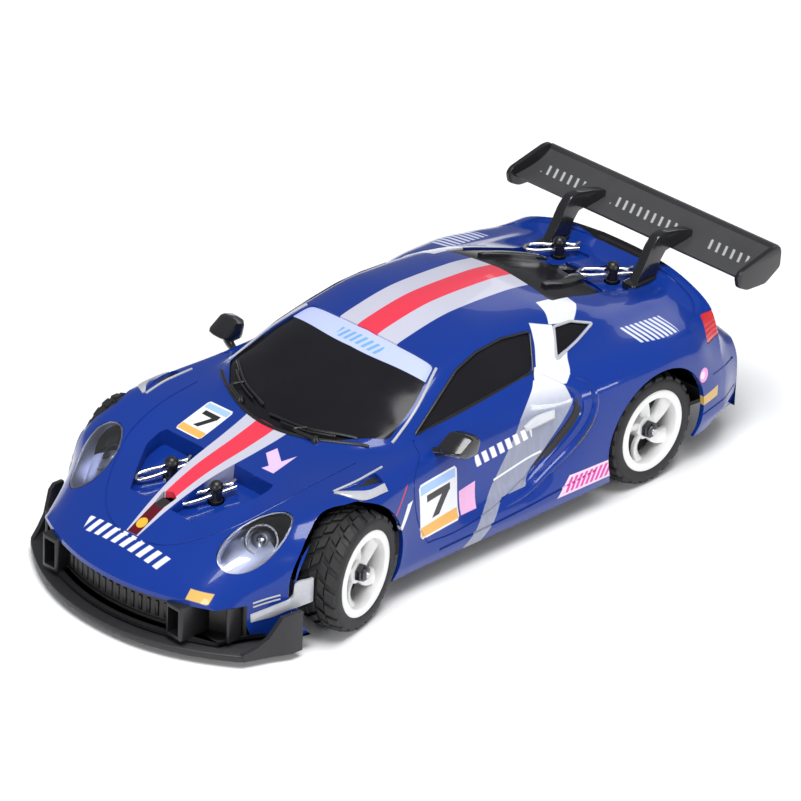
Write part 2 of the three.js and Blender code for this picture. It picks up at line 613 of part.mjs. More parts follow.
// A straight leg through the post, a loop at one end and a bowed leg back past the post.
function clipPath() {
  return new THREE.CatmullRomCurve3([
    [CLIP_LENGTH * 0.36, 0, 0], [0, 0, 0], [-CLIP_LENGTH * 0.34, 0, 0], [-CLIP_LENGTH * 0.52, 0.5, 0],
    [-CLIP_LENGTH * 0.6, 1.5, 0.1], [-CLIP_LENGTH * 0.5, 2.6, 0.3], [-CLIP_LENGTH * 0.3, 2.4, 0.4],
    [-1.6, 1.9, 0.4], [0, 2.15, 0.4], [1.6, 1.9, 0.4], [CLIP_LENGTH * 0.3, 1.2, 0.4], [CLIP_LENGTH * 0.4, 2, 0.4],
  ].map((p) => new THREE.Vector3(...p)), false, 'centripetal');
}

function makeClips() {
  Object.entries(CLIPS).forEach(([end, clip]) => SIDES.forEach(([name, side]) => {
    const wire = new THREE.Shape().absarc(0, 0, CLIP_WIRE, 0, Math.PI * 2, false);
    const settings = { steps: 22, extrudePath: clipPath(), bevelEnabled: false, curveSegments: 3 };
    const geometry = new THREE.ExtrudeGeometry(wire, settings);
    geometry.applyMatrix4(clipPlace(clip, side));
    addPart(`body_clip_${end}_${name}`, solid(geometry), STEEL);
  }));
}

// ---- Front suspension and steering ----
function makeFrontArms() {
  const kingpins = union(SIDES.map(([, side]) => rod(KINGPIN_RADIUS + RUNNING_CLEARANCE,
    [FRONT_AXLE_X, side * KINGPIN_Y, 5], [FRONT_AXLE_X, side * KINGPIN_Y, 23], 16)));
  const outline = mirroredPlan([[FRONT_AXLE_X + 3, 0], [FRONT_AXLE_X + 3, 13], [FRONT_AXLE_X + 2, 27.6],
    [FRONT_AXLE_X + 1.4, 30.6], [FRONT_AXLE_X - 1.4, 30.6], [FRONT_AXLE_X - 2, 27.6], [FRONT_AXLE_X - 5, 13],
    [FRONT_AXLE_X - 6, 0]]);
  addPart('front_lower_arm', plate(outline, LOWER_ARM_Z).subtract(kingpins), CHASSIS_BLACK);
  addPart('front_upper_arm', plate(outline, UPPER_ARM_Z).subtract(kingpins), CHASSIS_BLACK);
  const bulkhead = block([FRONT_AXLE_X - 4, FRONT_AXLE_X + 3], [-9, 9], [LOWER_ARM_Z[1] + 0.05, UPPER_ARM_Z[0] - 0.05]);
  const lightening = block([FRONT_AXLE_X - 5, FRONT_AXLE_X + 5], [-6, 6], [10, 17.5]);
  addPart('front_bulkhead', bulkhead.subtract(lightening), CHASSIS_BLACK);
}

function makeKingpins() {
  SIDES.forEach(([name, side]) => {
    const [x, y] = [FRONT_AXLE_X, side * KINGPIN_Y];
    const pin = rod(KINGPIN_RADIUS, [x, y, 6.6], [x, y, 21.5], 16);
    const head = rod(1.2, [x, y, 21.3], [x, y, 21.75], 12);
    addPart(`front_kingpin_${name}`, pin.add(head), STEEL);
  });
}

function makeKnuckle(name, side) {
  const [bottom, top] = KNUCKLE_Z;
  const hub = rod(2.1, [0, 0, bottom], [0, 0, top], 18);
  const stub = rod(STUB_RADIUS, [0, side * 1.5, AXLE_Z], [0, side * (FRONT_WHEEL_Y - KINGPIN_Y + 4), AXLE_Z], 16);
  const flange = rod(2, [0, side * 1.4, AXLE_Z], [0, side * 2.7, AXLE_Z], 16);
  const reach = Math.hypot(ARM_BACK, ARM_IN);
  const inward = Math.PI + side * Math.atan2(ARM_IN, ARM_BACK);
  const arm = block([0, reach + 0.8], [-0.8, 0.8], [bottom, bottom + 1.3]).rotate([0, 0, inward * 180 / Math.PI]);
  const pinAt = [-ARM_BACK, -side * ARM_IN];
  const pin = rod(0.5, [...pinAt, bottom - 2.4], [...pinAt, bottom + 0.3], 12);
  const bore = rod(KINGPIN_RADIUS + RUNNING_CLEARANCE, [0, 0, 8], [0, 0, 20], 16);
  const body = union([hub, stub, flange, arm, pin]).subtract(bore);
  addPart(`front_knuckle_${name}`, body, CHASSIS_BLACK, {
    position: [FRONT_AXLE_X, side * KINGPIN_Y, 0],
    turn: STEER_AT_REST,
  });
}

function makeSpringSeat(name, side) {
  const [x, y] = [FRONT_AXLE_X, side * KINGPIN_Y];
  const disc = rod(2, [x, y, KNUCKLE_Z[1] + 0.1], [x, y, KNUCKLE_Z[1] + 0.7], 18);
  const bore = rod(KINGPIN_RADIUS + RUNNING_CLEARANCE, [x, y, 15], [x, y, 18], 16);
  addPart(`spring_seat_${name}`, disc.subtract(bore), CHASSIS_BLACK);
}

function makeSpring(name, side) {
  const coils = 3.5;
  const [low, high] = [KNUCKLE_Z[1] + 1.0, UPPER_ARM_Z[0] - 0.3];
  class Helix extends THREE.Curve {
    getPoint(t, target = new THREE.Vector3()) {
      const angle = t * coils * Math.PI * 2;
      return target.set(1.5 * Math.cos(angle), 1.5 * Math.sin(angle), low + (high - low) * t);
    }
  }
  const wire = new THREE.Shape().absarc(0, 0, 0.2, 0, Math.PI * 2, false);
  const settings = { steps: 28, extrudePath: new Helix(), bevelEnabled: false, curveSegments: 2 };
  const geometry = new THREE.ExtrudeGeometry(wire, settings);
  geometry.translate(FRONT_AXLE_X, side * KINGPIN_Y, 0);
  addPart(`front_spring_${name}`, solid(geometry), STEEL);
}

function makeSteering() {
  const shift = -RACK_TRAVEL_PER_RADIAN * STEER_AT_REST;
  const barX = FRONT_AXLE_X - ARM_BACK - 2.4;
  const bar = block([barX - 1.4, barX + 1.2], [shift - 25, shift + 25], TIE_ROD_Z);
  const padY = KINGPIN_Y - ARM_IN + 0.2;
  const padOutline = [[barX - 1.4, padY - 1.6], [barX - 1.4, padY + 0.6], [barX + 0.4, padY + 1.6],
    [barX + 6.4, padY + 1.6], [barX + 6.4, padY - 1.6]];
  const pads = SIDES.map(([, side]) => (
    plate(padOutline.map(([x, y]) => [x, shift + side * y]), TIE_ROD_Z)
  ));
  const slots = SIDES.map(([, side]) => (
    block([barX + 0.4, barX + 5.7], [shift + side * padY - 0.95, shift + side * padY + 0.95], [8, 12])
  ));
  const centre = block([barX - 1.8, barX + 2.6], [shift - 2, shift + 2], TIE_ROD_Z);
  const centreSlot = block([barX - 1.1, barX + 1.5], [shift - 0.9, shift + 0.9], [8, 12]);
  addPart('tie_rod', union([bar, ...pads, centre]).subtract(union([...slots, centreSlot])), CHASSIS_BLACK);
  const hornTurn = Math.asin(shift / HORN_LENGTH);
  const hub = rod(1.7, [0, 0, 7.6], [0, 0, 9], 16);
  const lever = block([0, HORN_LENGTH + 1], [-1, 1], [7.6, 9]);
  const pin = rod(0.6, [HORN_LENGTH, 0, 8.5], [HORN_LENGTH, 0, 10.6], 12);
  const position = [barX + 0.2 - HORN_LENGTH, 0, 0];
  addPart('servo_horn', union([hub, lever, pin]), WHITE_NYLON, { position, turn: hornTurn });
  const spline = rod(1.1, [position[0], 0, 9.1], [position[0], 0, 10.7], 14);
  const caseBody = block([21.5, 34.5], [-10, 10], [10.6, 20]);
  const feet = block([25.4, 29], [-10, 10], [6.3, 10.7]);
  addPart('servo_case', union([caseBody, spline, feet]), SATIN_BLACK);
}

// ---- Wheels ----
function lathe(profile, segments) {
  const points = profile.map(([r, y]) => new THREE.Vector2(r, y));
  return new THREE.LatheGeometry([...points, points[0]], segments);
}

// The wheel is turned about Y with its outer face towards +Y, centred on its own middle.
function rimSolid() {
  const half = TYRE_WIDTH / 2;
  const inner = RIM_RADIUS - RIM_WALL;
  const barrel = solid(lathe([[inner, -half + 0.3], [RIM_RADIUS - 0.1, -half + 0.3], [RIM_RADIUS - 0.1, -half + 1],
    [RIM_RADIUS - 0.4, -half + 1.2], [RIM_RADIUS - 0.4, half - 1.2], [RIM_RADIUS - 0.1, half - 1],
    [RIM_RADIUS - 0.1, half - 0.2], [inner, half - 0.2]], 20));
  const web = rod(inner + 0.2, [0, 1, 0], [0, 2.6, 0], 20);
  const windows = [0, 1, 2, 3, 4].map((i) => {
    const spoke = new THREE.Shape();
    spoke.absarc(0, 0, 7.9, -0.38, 0.38, false);
    spoke.absarc(0, 0, 3.4, 0.3, -0.3, true);
    const geometry = new THREE.ExtrudeGeometry(spoke, { depth: 6, bevelEnabled: false, curveSegments: 2 });
    geometry.rotateX(Math.PI / 2);
    geometry.translate(0, 5, 0);
    geometry.rotateY(i * Math.PI * 2 / 5 + Math.PI / 2);
    return solid(geometry);
  });
  const hub = rod(2.6, [0, -0.4, 0], [0, 2.8, 0], 16);
  const bore = rod(STUB_RADIUS + RUNNING_CLEARANCE, [0, -3, 0], [0, 5, 0], 14);
  return union([barrel, web]).subtract(union(windows)).add(hub).subtract(bore);
}

function tyreSolid() {
  const half = TYRE_WIDTH / 2;
  const inner = RIM_RADIUS + 0.15;
  const carcass = solid(lathe([[inner - 0.35, -half + 1.35], [inner, -half + 0.9], [inner, -half + 0.1],
    [inner + 0.7, -half], [TYRE_RADIUS - 1.6, -half + 0.2], [TYRE_RADIUS - 0.6, -half + 1.1],
    [TYRE_RADIUS - 0.6, half - 1.1], [TYRE_RADIUS - 1.6, half - 0.2], [inner + 0.7, half], [inner, half - 0.1],
    [inner, half - 0.9], [inner - 0.35, half - 1.35]], 20));
  const blocks = [];
  const around = 10;
  for (let i = 0; i < around; i += 1) {
    [-1, 1].forEach((row) => {
      const geometry = new THREE.BoxGeometry(4.4, 3.4, 1.4);
      geometry.translate(0, row * 2.05, TYRE_RADIUS - 0.75);
      geometry.rotateY((i + (row > 0 ? 0.5 : 0)) * Math.PI * 2 / around);
      blocks.push(solid(geometry));
    });
  }
  return union([carcass, ...blocks]);
}

function nutSolid() {
  const nut = rod(2.1, [0, 3, 0], [0, 4.3, 0], 6);
  return nut.subtract(rod(STUB_RADIUS + 0.05, [0, 2, 0], [0, 6, 0], 16));
}

function placedWheel(body, side) {
  return side > 0 ? body : body.rotate([0, 0, 180]);
}

function makeWheels() {
  const [rim, tyre, nut] = [rimSolid(), tyreSolid(), nutSolid()];
  SIDES.forEach(([name, side]) => {
    const reach = side * (FRONT_WHEEL_Y - KINGPIN_Y);
    const front = {
      position: [
        FRONT_AXLE_X - reach * Math.sin(STEER_AT_REST),
        side * KINGPIN_Y + reach * Math.cos(STEER_AT_REST),
        AXLE_Z,
      ],
      turn: STEER_AT_REST,
    };
    const rear = { position: [REAR_AXLE_X, side * REAR_WHEEL_Y, AXLE_Z] };
    [['front', front], ['rear', rear]].forEach(([end, placing]) => {
      addPart(`rim_${end}_${name}`, placedWheel(rim, side), WHITE_NYLON, placing);
      addPart(`tyre_${end}_${name}`, placedWheel(tyre, side), TYRE_RUBBER, placing);
      addPart(`wheel_nut_${end}_${name}`, placedWheel(nut, side), DARK_STEEL, placing);
    });
  });
}

// ---- Drive ----
function gearSolid(teeth, bore, firstTooth) {
  const pitch = GEAR_MODULE * teeth / 2;
  const [root, tip] = [pitch - 1.15 * GEAR_MODULE, pitch + 0.85 * GEAR_MODULE];
  const outline = [];
  for (let i = 0; i < teeth; i += 1) {
    const angle = firstTooth + i * Math.PI * 2 / teeth;
    const unit = Math.PI * 2 / teeth;
    [[-0.33, root], [-0.1, tip], [0.1, tip], [0.33, root]].forEach(([part, radius]) => {
      outline.push([radius * Math.cos(angle + part * unit), radius * Math.sin(angle + part * unit)]);
    });
  }
  return sideProfile(outline, GEAR_Y).subtract(rod(bore, [0, 0, 0], [0, 20, 0], 16));
}

function makeDrive() {
  const at = [REAR_AXLE_X, 0, AXLE_Z];
  const shaft = rod(REAR_AXLE_RADIUS, [0, -28.2, 0], [0, 28.2, 0], 16);
  const ends = SIDES.map(([, side]) => rod(STUB_RADIUS, [0, side * 28, 0], [0, side * (REAR_WHEEL_Y + 4), 0], 16));
  const hubs = SIDES.map(([, side]) => rod(2.4, [0, side * 28, 0], [0, side * (REAR_WHEEL_Y - 0.5), 0], 6));
  addPart('rear_axle', union([shaft, ...ends, ...hubs]), STEEL, { position: at });
  addPart('spur_gear', gearSolid(SPUR_TEETH, REAR_AXLE_RADIUS + 0.05, 0), WHITE_NYLON, { position: at });
  const pinion = gearSolid(PINION_TEETH, 0.1, Math.PI + Math.PI / PINION_TEETH);
  const motorShaft = rod(0.7, [0, 6.6, 0], [0, 12, 0], 14);
  addPart('motor_pinion', pinion.add(motorShaft), [0xb08d4a, 0.3, 0.9], { position: [MOTOR_X, 0, AXLE_Z] });
  const can = rod(5, [MOTOR_X, -9, AXLE_Z], [MOTOR_X, 6, AXLE_Z], 24);
  const nose = rod(1.6, [MOTOR_X, 5.9, AXLE_Z], [MOTOR_X, 6.5, AXLE_Z], 16);
  addPart('motor_can', can.add(nose), STEEL);
}

function makeGearbox() {
  const outline = [[-57, 6.3], [-33.4, 6.3], [-33.4, 16], [-38, 20.5], [-52, 20.5], [-57, 17]];
  const walls = SIDES.map(([, side]) => {
    const y = side * 13.4;
    return sideProfile(outline, [y - 0.9, y + 0.9]);
  });
  const gearWindow = block([REAR_AXLE_X - 5, REAR_AXLE_X + 5], [GEAR_Y[0] - 0.5, GEAR_Y[1] + 0.5], [6, 8]);
  const base = block([-57, -33.4], [-13, 13], [6.3, 7]).subtract(gearWindow);
  const brace = block([-57, -55.4], [-13, 13], [6.3, 15]);
  const cap = block([-50, -40], [-13, 13], [20.6, 21.6]).add(block([-50, -40], [-14.2, -12.6], [19, 21.6]))
    .add(block([-50, -40], [12.6, 14.2], [19, 21.6]));
  const cradle = block([MOTOR_X - 2, MOTOR_X + 4.5], [-7, 4], [6.3, 8.2]);
  const bearing = rod(REAR_AXLE_RADIUS + RUNNING_CLEARANCE, [REAR_AXLE_X, -20, AXLE_Z], [REAR_AXLE_X, 20, AXLE_Z], 16);
  addPart('gearbox_case', union([...walls, base, brace, cap, cradle]).subtract(bearing), CHASSIS_BLACK);
}

// ---- Electrics ----
function makeElectrics() {
  addPart('battery_pack', block([-24.8, 3], [-16, 16], [6.4, 15.6]), [0x2b5f9e, 0.5, 0]);
  const strap = block([-13.5, -8.5], [-17.4, 17.4], [6.3, 17]).subtract(block([-14, -8], [-16.2, 16.2], [5, 15.8]));
  addPart('battery_strap', strap, SATIN_BLACK);
  const board = block([6, 20.5], [-15, 15], [7.2, 8.4]);
  const chips = union([block([8, 13], [-10, -3], [8.3, 9.8]), block([10, 18], [3, 11], [8.3, 9.6])]);
  const legs = union([-13, 13].map((y) => block([7, 9], [y - 1, y + 1], [6.3, 7.3])));
  addPart('circuit_board', union([board, chips, legs]), [0x1f5a34, 0.5, 0]);
  const [switchX, switchY] = [14, 20.4];
  const housing = block([switchX - 4, switchX + 4], [switchY - 2, switchY + 2], [6.3, 9.6]);
  const channel = block([switchX - 2.6, switchX + 2.6], [switchY - 1.1, switchY + 1.1], [8, 12]);
  addPart('switch_housing', housing.subtract(channel), SATIN_BLACK);
  const slider = block([switchX - 2.4, switchX - 0.2], [switchY - 0.9, switchY + 0.9], [8.2, 11]);
  addPart('power_switch', slider, [0xc0c0c0, 0.4, 0.2]);
}

makeShell();
makeWindows();
makeLights();
makeMirrors();
makeSplitter();
makeGrille();
makeWing();
makeWingStays();
makeDiffuser();
makeTray();
makeBodyPost('front_body_post', FRONT_POST, 9.5);
makeBodyPost('rear_body_post', REAR_POST, 9.5);
makeClips();
makeFrontArms();
makeKingpins();
SIDES.forEach(([name, side]) => {
  makeKnuckle(name, side);
  makeSpringSeat(name, side);
  makeSpring(name, side);
});
makeSteering();
makeWheels();
makeDrive();
makeGearbox();
makeElectrics();

export default car;
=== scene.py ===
# Looks of the small radio-controlled touring car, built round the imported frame.
# Shapes are written in millimetres in the row frame and scaled to metres when meshes are made.
# +X is forward, +Y is the car's left, +Z is up.
import math

import bmesh
import bpy
import numpy as np
from mathutils import Matrix, Vector
from mathutils.bvhtree import BVHTree


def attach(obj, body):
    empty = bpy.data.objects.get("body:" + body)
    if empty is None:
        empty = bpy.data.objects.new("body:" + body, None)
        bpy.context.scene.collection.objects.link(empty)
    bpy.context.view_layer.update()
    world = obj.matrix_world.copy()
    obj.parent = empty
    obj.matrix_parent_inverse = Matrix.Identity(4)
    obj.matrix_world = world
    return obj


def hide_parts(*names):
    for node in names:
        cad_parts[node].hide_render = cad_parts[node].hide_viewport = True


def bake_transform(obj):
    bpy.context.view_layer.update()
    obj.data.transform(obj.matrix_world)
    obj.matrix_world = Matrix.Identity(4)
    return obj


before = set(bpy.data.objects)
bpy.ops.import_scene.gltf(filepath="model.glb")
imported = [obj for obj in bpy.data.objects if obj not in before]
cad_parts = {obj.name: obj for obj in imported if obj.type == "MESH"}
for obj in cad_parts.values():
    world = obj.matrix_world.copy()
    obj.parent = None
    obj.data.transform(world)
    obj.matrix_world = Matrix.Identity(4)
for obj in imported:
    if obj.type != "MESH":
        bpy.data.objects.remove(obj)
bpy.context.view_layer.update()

MM = 0.001
SIDES = (("left", 1), ("right", -1))

# ---- Dimensions shared with the CAD ----
FRONT_AXLE_X = 47.4
REAR_AXLE_X = -47.6
TYRE_RADIUS = 13.5
RIM_RADIUS = 9.6
SPOKES = 5
SPOKE_TILT = 0.55
TREAD_BLOCKS = 22
BLOCK_HALF = 1.28
AXLE_Z = 13.5
ARCH_RADIUS = 15.8
ARCH_RELIEF = 1.0
ARCH_INNER_Y, ARCH_OUTER_Y, ARCH_LIP_Y = 24, 44, 34.9
FRONT_WHEEL_Y = 34.2
REAR_WHEEL_Y = 31.8
KINGPIN_Y = 30.5
STEER_AT_REST = math.radians(14)
NOSE_X, TAIL_X = 86, -85
NOSE_BULGE, TAIL_BULGE, BULGE_HALF_WIDTH = 11.5, 5, 33
SHELL_WALL = 1.1
SHELL_TOP = 48
FRONT_POST = (59.6, 7, 26.8)
REAR_POST = (-62.9, 8.3, 38.7)
POST_RADIUS = 1.2
POST_BALL = 1.55
CLIP_WIRE = 0.4
CLIP_LENGTH = 13
CLIP_DROP = 2.3
CLIPS = {"front": (FRONT_POST, math.pi - 0.43, 0.22), "rear": (REAR_POST, math.pi - 0.6, 0.0)}
WING_SPAN = 35.6
SPRING_LOW, SPRING_HIGH, SPRING_COILS, SPRING_RADIUS, SPRING_WIRE = 16.95, 19.8, 3.5, 1.5, 0.2
WING_CHORD = ((-88.3, 45.1), (-74.9, 41))

# ---- Outer surface of the shell: the same control curves as the CAD, nose to tail ----
BODY_CURVES = (
    ((86, 27, 3.6), (80, 29, 3.6), (74, 32, 3.6), (61, 36, 3.6), (30, 35.2, 5.6), (-33, 36.6, 5.6),
     (-62, 36.4, 6.6), (-85, 31.5, 7)),
    ((86, 27.6, 7), (80, 30, 7.6), (74, 32.6, 8), (61, 36.8, 9), (30, 35.9, 8.6), (0, 36.4, 8.4),
     (-33, 37.6, 9), (-48.5, 38.6, 12), (-62, 37.6, 11), (-76, 36.4, 11), (-85, 32.6, 11)),
    ((86, 27.6, 10.5), (80, 30, 12), (72, 33.2, 14), (61, 36.9, 16.5), (47, 38, 21), (30, 35.9, 18),
     (10, 33.9, 16), (-8, 33.8, 16), (-26, 37, 19), (-48.5, 39, 22), (-62, 38, 19), (-76, 36.3, 16),
     (-85, 32.8, 15)),
    ((86, 26.4, 12.4), (80, 29.2, 14.8), (70, 32.6, 18.6), (61, 35.6, 22.4), (47, 36.8, 27), (34, 35.4, 27),
     (22, 33.8, 26.4), (5, 32.8, 25.6), (-10, 32.8, 26.5), (-22, 35, 28.5), (-36, 37.4, 30),
     (-48.5, 38, 30.5), (-60, 37.2, 28.5), (-70, 35.6, 25), (-76, 35, 22), (-85, 32.4, 19)),
    ((86, 24, 13.2), (82, 26, 15.6), (74, 28, 19.8), (66, 29, 23.8), (57, 30, 27.8), (46, 31, 30.2),
     (34, 31.2, 30.9), (22, 31, 31), (5, 30.2, 32), (-10, 30, 33), (-26, 32, 34.2), (-40, 33.4, 34.8),
     (-50, 33.2, 34.6), (-60, 32, 33.8), (-68, 30.8, 33.2), (-75.4, 30, 33.4), (-76.6, 31, 27.5),
     (-85, 29, 23)),
    ((86, 20, 13.3), (83, 20.6, 16), (76, 21.5, 20.2), (66, 22.5, 24.4), (57, 23.6, 27.8), (45.5, 25, 30.2),
     (34, 26.4, 31), (22, 27.6, 31.8), (5, 28.2, 33.8), (-10, 28, 35.2), (-26, 27.6, 36.4), (-40, 26.4, 36.8),
     (-50, 25.6, 36), (-60, 24.4, 35.2), (-68, 23.6, 34.8), (-75.4, 22, 36.4), (-76.6, 23, 28),
     (-85, 21, 23.4)),
    ((86, 14, 13.3), (83, 14.5, 16.1), (76, 15, 20.2), (66, 16, 24.5), (57, 17, 27.3), (45.5, 18.5, 29.8),
     (36, 21, 31.2), (26, 25.2, 32.4), (14, 25.8, 35.6), (5, 24.8, 38.4), (-10, 24.2, 40.4),
     (-26, 23.8, 40.6),
     (-40, 22.6, 39.2), (-50, 21.4, 37.6), (-60, 19.6, 36.4), (-68, 18.4, 35.6), (-75.4, 15, 37.6),
     (-76.6, 16, 28), (-85, 14, 23.6)),
    ((86, 9, 13.3), (83, 9.5, 16.1), (76, 10, 20.1), (66, 11, 24.5), (57, 12, 27.4), (45.5, 13, 29.7),
     (38, 16, 31.2), (30, 21, 33), (22, 23.6, 34.8), (14, 22.6, 38.4), (5, 20.6, 42.1), (-10, 19.6, 44.4),
     (-26, 19, 43.8), (-35, 18.2, 42.8), (-50, 16.2, 38.9), (-57, 15, 37), (-62, 14, 36), (-68, 13, 35.6),
     (-75.4, 9, 38), (-76.6, 10, 28.4), (-85, 8, 24)),
    ((86, 4.5, 13.3), (83, 4.8, 16.1), (76, 5, 20.1), (66, 5.5, 24.7), (57, 6, 27.6), (45.5, 7, 29.8),
     (38, 8.5, 31.5), (30, 11, 34.6), (22, 12.4, 37.8), (14, 12, 41.3), (5, 11, 44.1), (-10, 10.4, 46),
     (-26, 10, 45.3), (-35, 9.6, 44), (-50, 9, 39.9), (-57, 8.6, 37.6), (-62, 8, 36.2), (-68, 7, 35.7),
     (-75.4, 4.5, 38.2), (-76.6, 5, 28.6), (-85, 4, 24)),
    ((86, 0, 13.3), (83, 0, 16.2), (76, 0, 20.1), (66, 0, 24.8), (57, 0, 27.6), (45.5, 0, 29.8),
     (38, 0, 31.6),
     (30, 0, 35.2), (22, 0, 38.6), (14, 0, 42), (5, 0, 45), (-10, 0, 46.7), (-26, 0, 46), (-35, 0, 44.7),
     (-50, 0, 40.4), (-57, 0, 38), (-62, 0, 36.4), (-68, 0, 35.8), (-75.4, 0, 38.2), (-76.6, 0, 28.6),
     (-85, 0, 24)),
)
PER_SPAN = 7
STATION_STEP = 0.8
# Even stations keep off the upturned lip, which has its own closer ones; so has the end of the nose.
LIP_X, LIP_HALF = -75.9, 1.2
CLOSE_STATIONS = (-75.4, -75.0, -75.7, -76.1, -76.6, 82.2, 83, 83.8, 84.6, 85.3, NOSE_X)


def monotone_cubic(at, value):
    """Evaluates a monotone cubic through (at, value), as the CAD does."""
    at, value = np.asarray(at, float), np.asarray(value, float)
    step = np.diff(at)
    rise = np.diff(value) / step
    before, after = rise[:-1], rise[1:]
    w1 = 2 * step[1:] + step[:-1]
    w2 = step[1:] + 2 * step[:-1]
    same = before * after > 0
    inner = np.where(same, (w1 + w2) / (w1 / np.where(same, before, 1) + w2 / np.where(same, after, 1)), 0)
    slope = np.concatenate(([rise[0]], inner, [rise[-1]]))

    def evaluate(t):
        t = np.clip(t, at[0], at[-1])
        i = np.clip(np.searchsorted(at, t, side="left") - 1, 0, len(step) - 1)
        width = step[i]
        u = (t - at[i]) / width
        h01 = u * u * (3 - 2 * u)
        return (value[i] * (1 - h01) + value[i + 1] * h01
                + width * (slope[i] * u * (1 - u) ** 2 + slope[i + 1] * u * u * (u - 1)))

    return evaluate


CURVES = [tuple(monotone_cubic([k[0] for k in keys[::-1]], [k[axis] for k in keys[::-1]]) for axis in (1, 2))
          for keys in BODY_CURVES]


def half_section(station):
    """Half a cross-section as [y, z] rows from the bottom edge to the centre line."""
    knots = np.array([(y(station), z(station)) for y, z in CURVES])
    at = np.concatenate(([0], np.cumsum(np.hypot(*np.diff(knots, axis=0).T))))
    spans = [np.linspace(start, stop, PER_SPAN, endpoint=False) for start, stop in zip(at, at[1:])]
    t = np.append(np.concatenate(spans), at[-1])
    return np.stack((monotone_cubic(at, knots[:, 0])(t), monotone_cubic(at, knots[:, 1])(t)), axis=1)


def smoothstep(value, low, high):
    u = np.clip((value - low) / (high - low), 0, 1)
    return u * u * (3 - 2 * u)


def bowed_x(station, y):
    nose = NOSE_BULGE * smoothstep(station, 56, NOSE_X)
    tail = TAIL_BULGE * smoothstep(-station, 60, -TAIL_X)
    return station + (tail - nose) * (y / BULGE_HALF_WIDTH) ** 2


def stations():
    xs = np.arange(TAIL_X, NOSE_X - 4, STATION_STEP)
    return np.sort(np.append(xs[np.abs(xs - LIP_X) > LIP_HALF], CLOSE_STATIONS))


def body_rings(inset):
    """Outer points of each cross-section, drawn in by inset: array [station, across, xyz]."""
    shrink = (BULGE_HALF_WIDTH - inset) / BULGE_HALF_WIDTH
    rings = []
    for station in stations():
        held = min(max(station, TAIL_X + inset), NOSE_X - inset)
        half = half_section(held)
        z = half[:, 1]
        if inset > 0:
            z = np.minimum(z, half_section(min(held + inset, NOSE_X))[:, 1])
            z = np.minimum(z, half_section(max(held - inset, TAIL_X))[:, 1])
        y = half[:, 0]
        z = z - inset
        ys = np.concatenate((y, -y[-2::-1]))
        zs = np.concatenate((z, z[-2::-1]))
        rings.append(np.stack((bowed_x(held, ys), ys * shrink, zs), axis=1))
    return np.array(rings)


def grid_faces(rows, columns, flip=False):
    r, k = np.meshgrid(np.arange(rows - 1), np.arange(columns - 1), indexing="ij")
    a = (r * columns + k).ravel()
    faces = np.stack((a, a + columns, a + columns + 1, a + 1), axis=1)
    return faces[:, ::-1] if flip else faces


def loft_solid(inset, floor):
    """Closed mesh under the body surface, flat at floor, as (vertices, faces)."""
    upper = body_rings(inset)
    upper[:, :, 2] = np.maximum(upper[:, :, 2], floor + 0.05)
    lower = upper.copy()
    lower[:, :, 2] = floor
    rows, columns = upper.shape[:2]
    count = rows * columns
    verts = np.concatenate((upper.reshape(-1, 3), lower.reshape(-1, 3)))
    faces = [grid_faces(rows, columns, True), grid_faces(rows, columns) + count]
    r = np.arange(rows - 1) * columns
    faces.append(np.stack((r, r + columns, r + columns + count, r + count), axis=1))
    e = r + columns - 1
    faces.append(np.stack((e, e + count, e + columns + count, e + columns), axis=1))
    k = np.arange(columns - 1)
    faces.append(np.stack((k, k + count, k + 1 + count, k + 1), axis=1))
    k = k + (rows - 1) * columns
    faces.append(np.stack((k, k + 1, k + 1 + count, k + count), axis=1))
    return verts, np.concatenate(faces)


# ---- Mesh helpers ----
def raw_mesh(name, verts, faces):
    data = bpy.data.meshes.new(name)
    data.from_pydata((np.asarray(verts, float) * MM).tolist(), [], [list(map(int, f)) for f in faces])
    return data


def tidy_mesh(data, sharp=35):
    bm = bmesh.new()
    bm.from_mesh(data)
    bmesh.ops.remove_doubles(bm, verts=bm.verts, dist=1e-7)
    bmesh.ops.recalc_face_normals(bm, faces=bm.faces)
    limit = math.radians(sharp)
    for edge in bm.edges:
        edge.smooth = len(edge.link_faces) == 2 and edge.calc_face_angle(0) < limit
    for face in bm.faces:
        face.smooth = True
    bm.to_mesh(data)
    bm.free()


def make(name, parts, material, body="chassis", sharp=35, replaces=()):
    """One object from (vertices, faces) parts, riding on a body; with no body it is left unattached."""
    if isinstance(parts, tuple):
        parts = [parts]
    verts, faces, offset = [], [], 0
    for v, f in parts:
        verts.extend(np.asarray(v, float).tolist())
        faces.extend([[int(i) + offset for i in face] for face in f])
        offset += len(v)
    data = raw_mesh(name, verts, faces)
    tidy_mesh(data, sharp)
    piece = bpy.data.objects.new(name, data)
    bpy.context.scene.collection.objects.link(piece)
    data.materials.append(material)
    if body:
        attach(piece, body)
    if replaces:
        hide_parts(*replaces)
    return piece


def scratch(part):
    data = raw_mesh("scratch", *part)
    bm = bmesh.new()
    bm.from_mesh(data)
    bmesh.ops.remove_doubles(bm, verts=bm.verts, dist=1e-7)
    bmesh.ops.recalc_face_normals(bm, faces=bm.faces)
    bm.to_mesh(data)
    bm.free()
    piece = bpy.data.objects.new("scratch", data)
    bpy.context.scene.collection.objects.link(piece)
    return piece


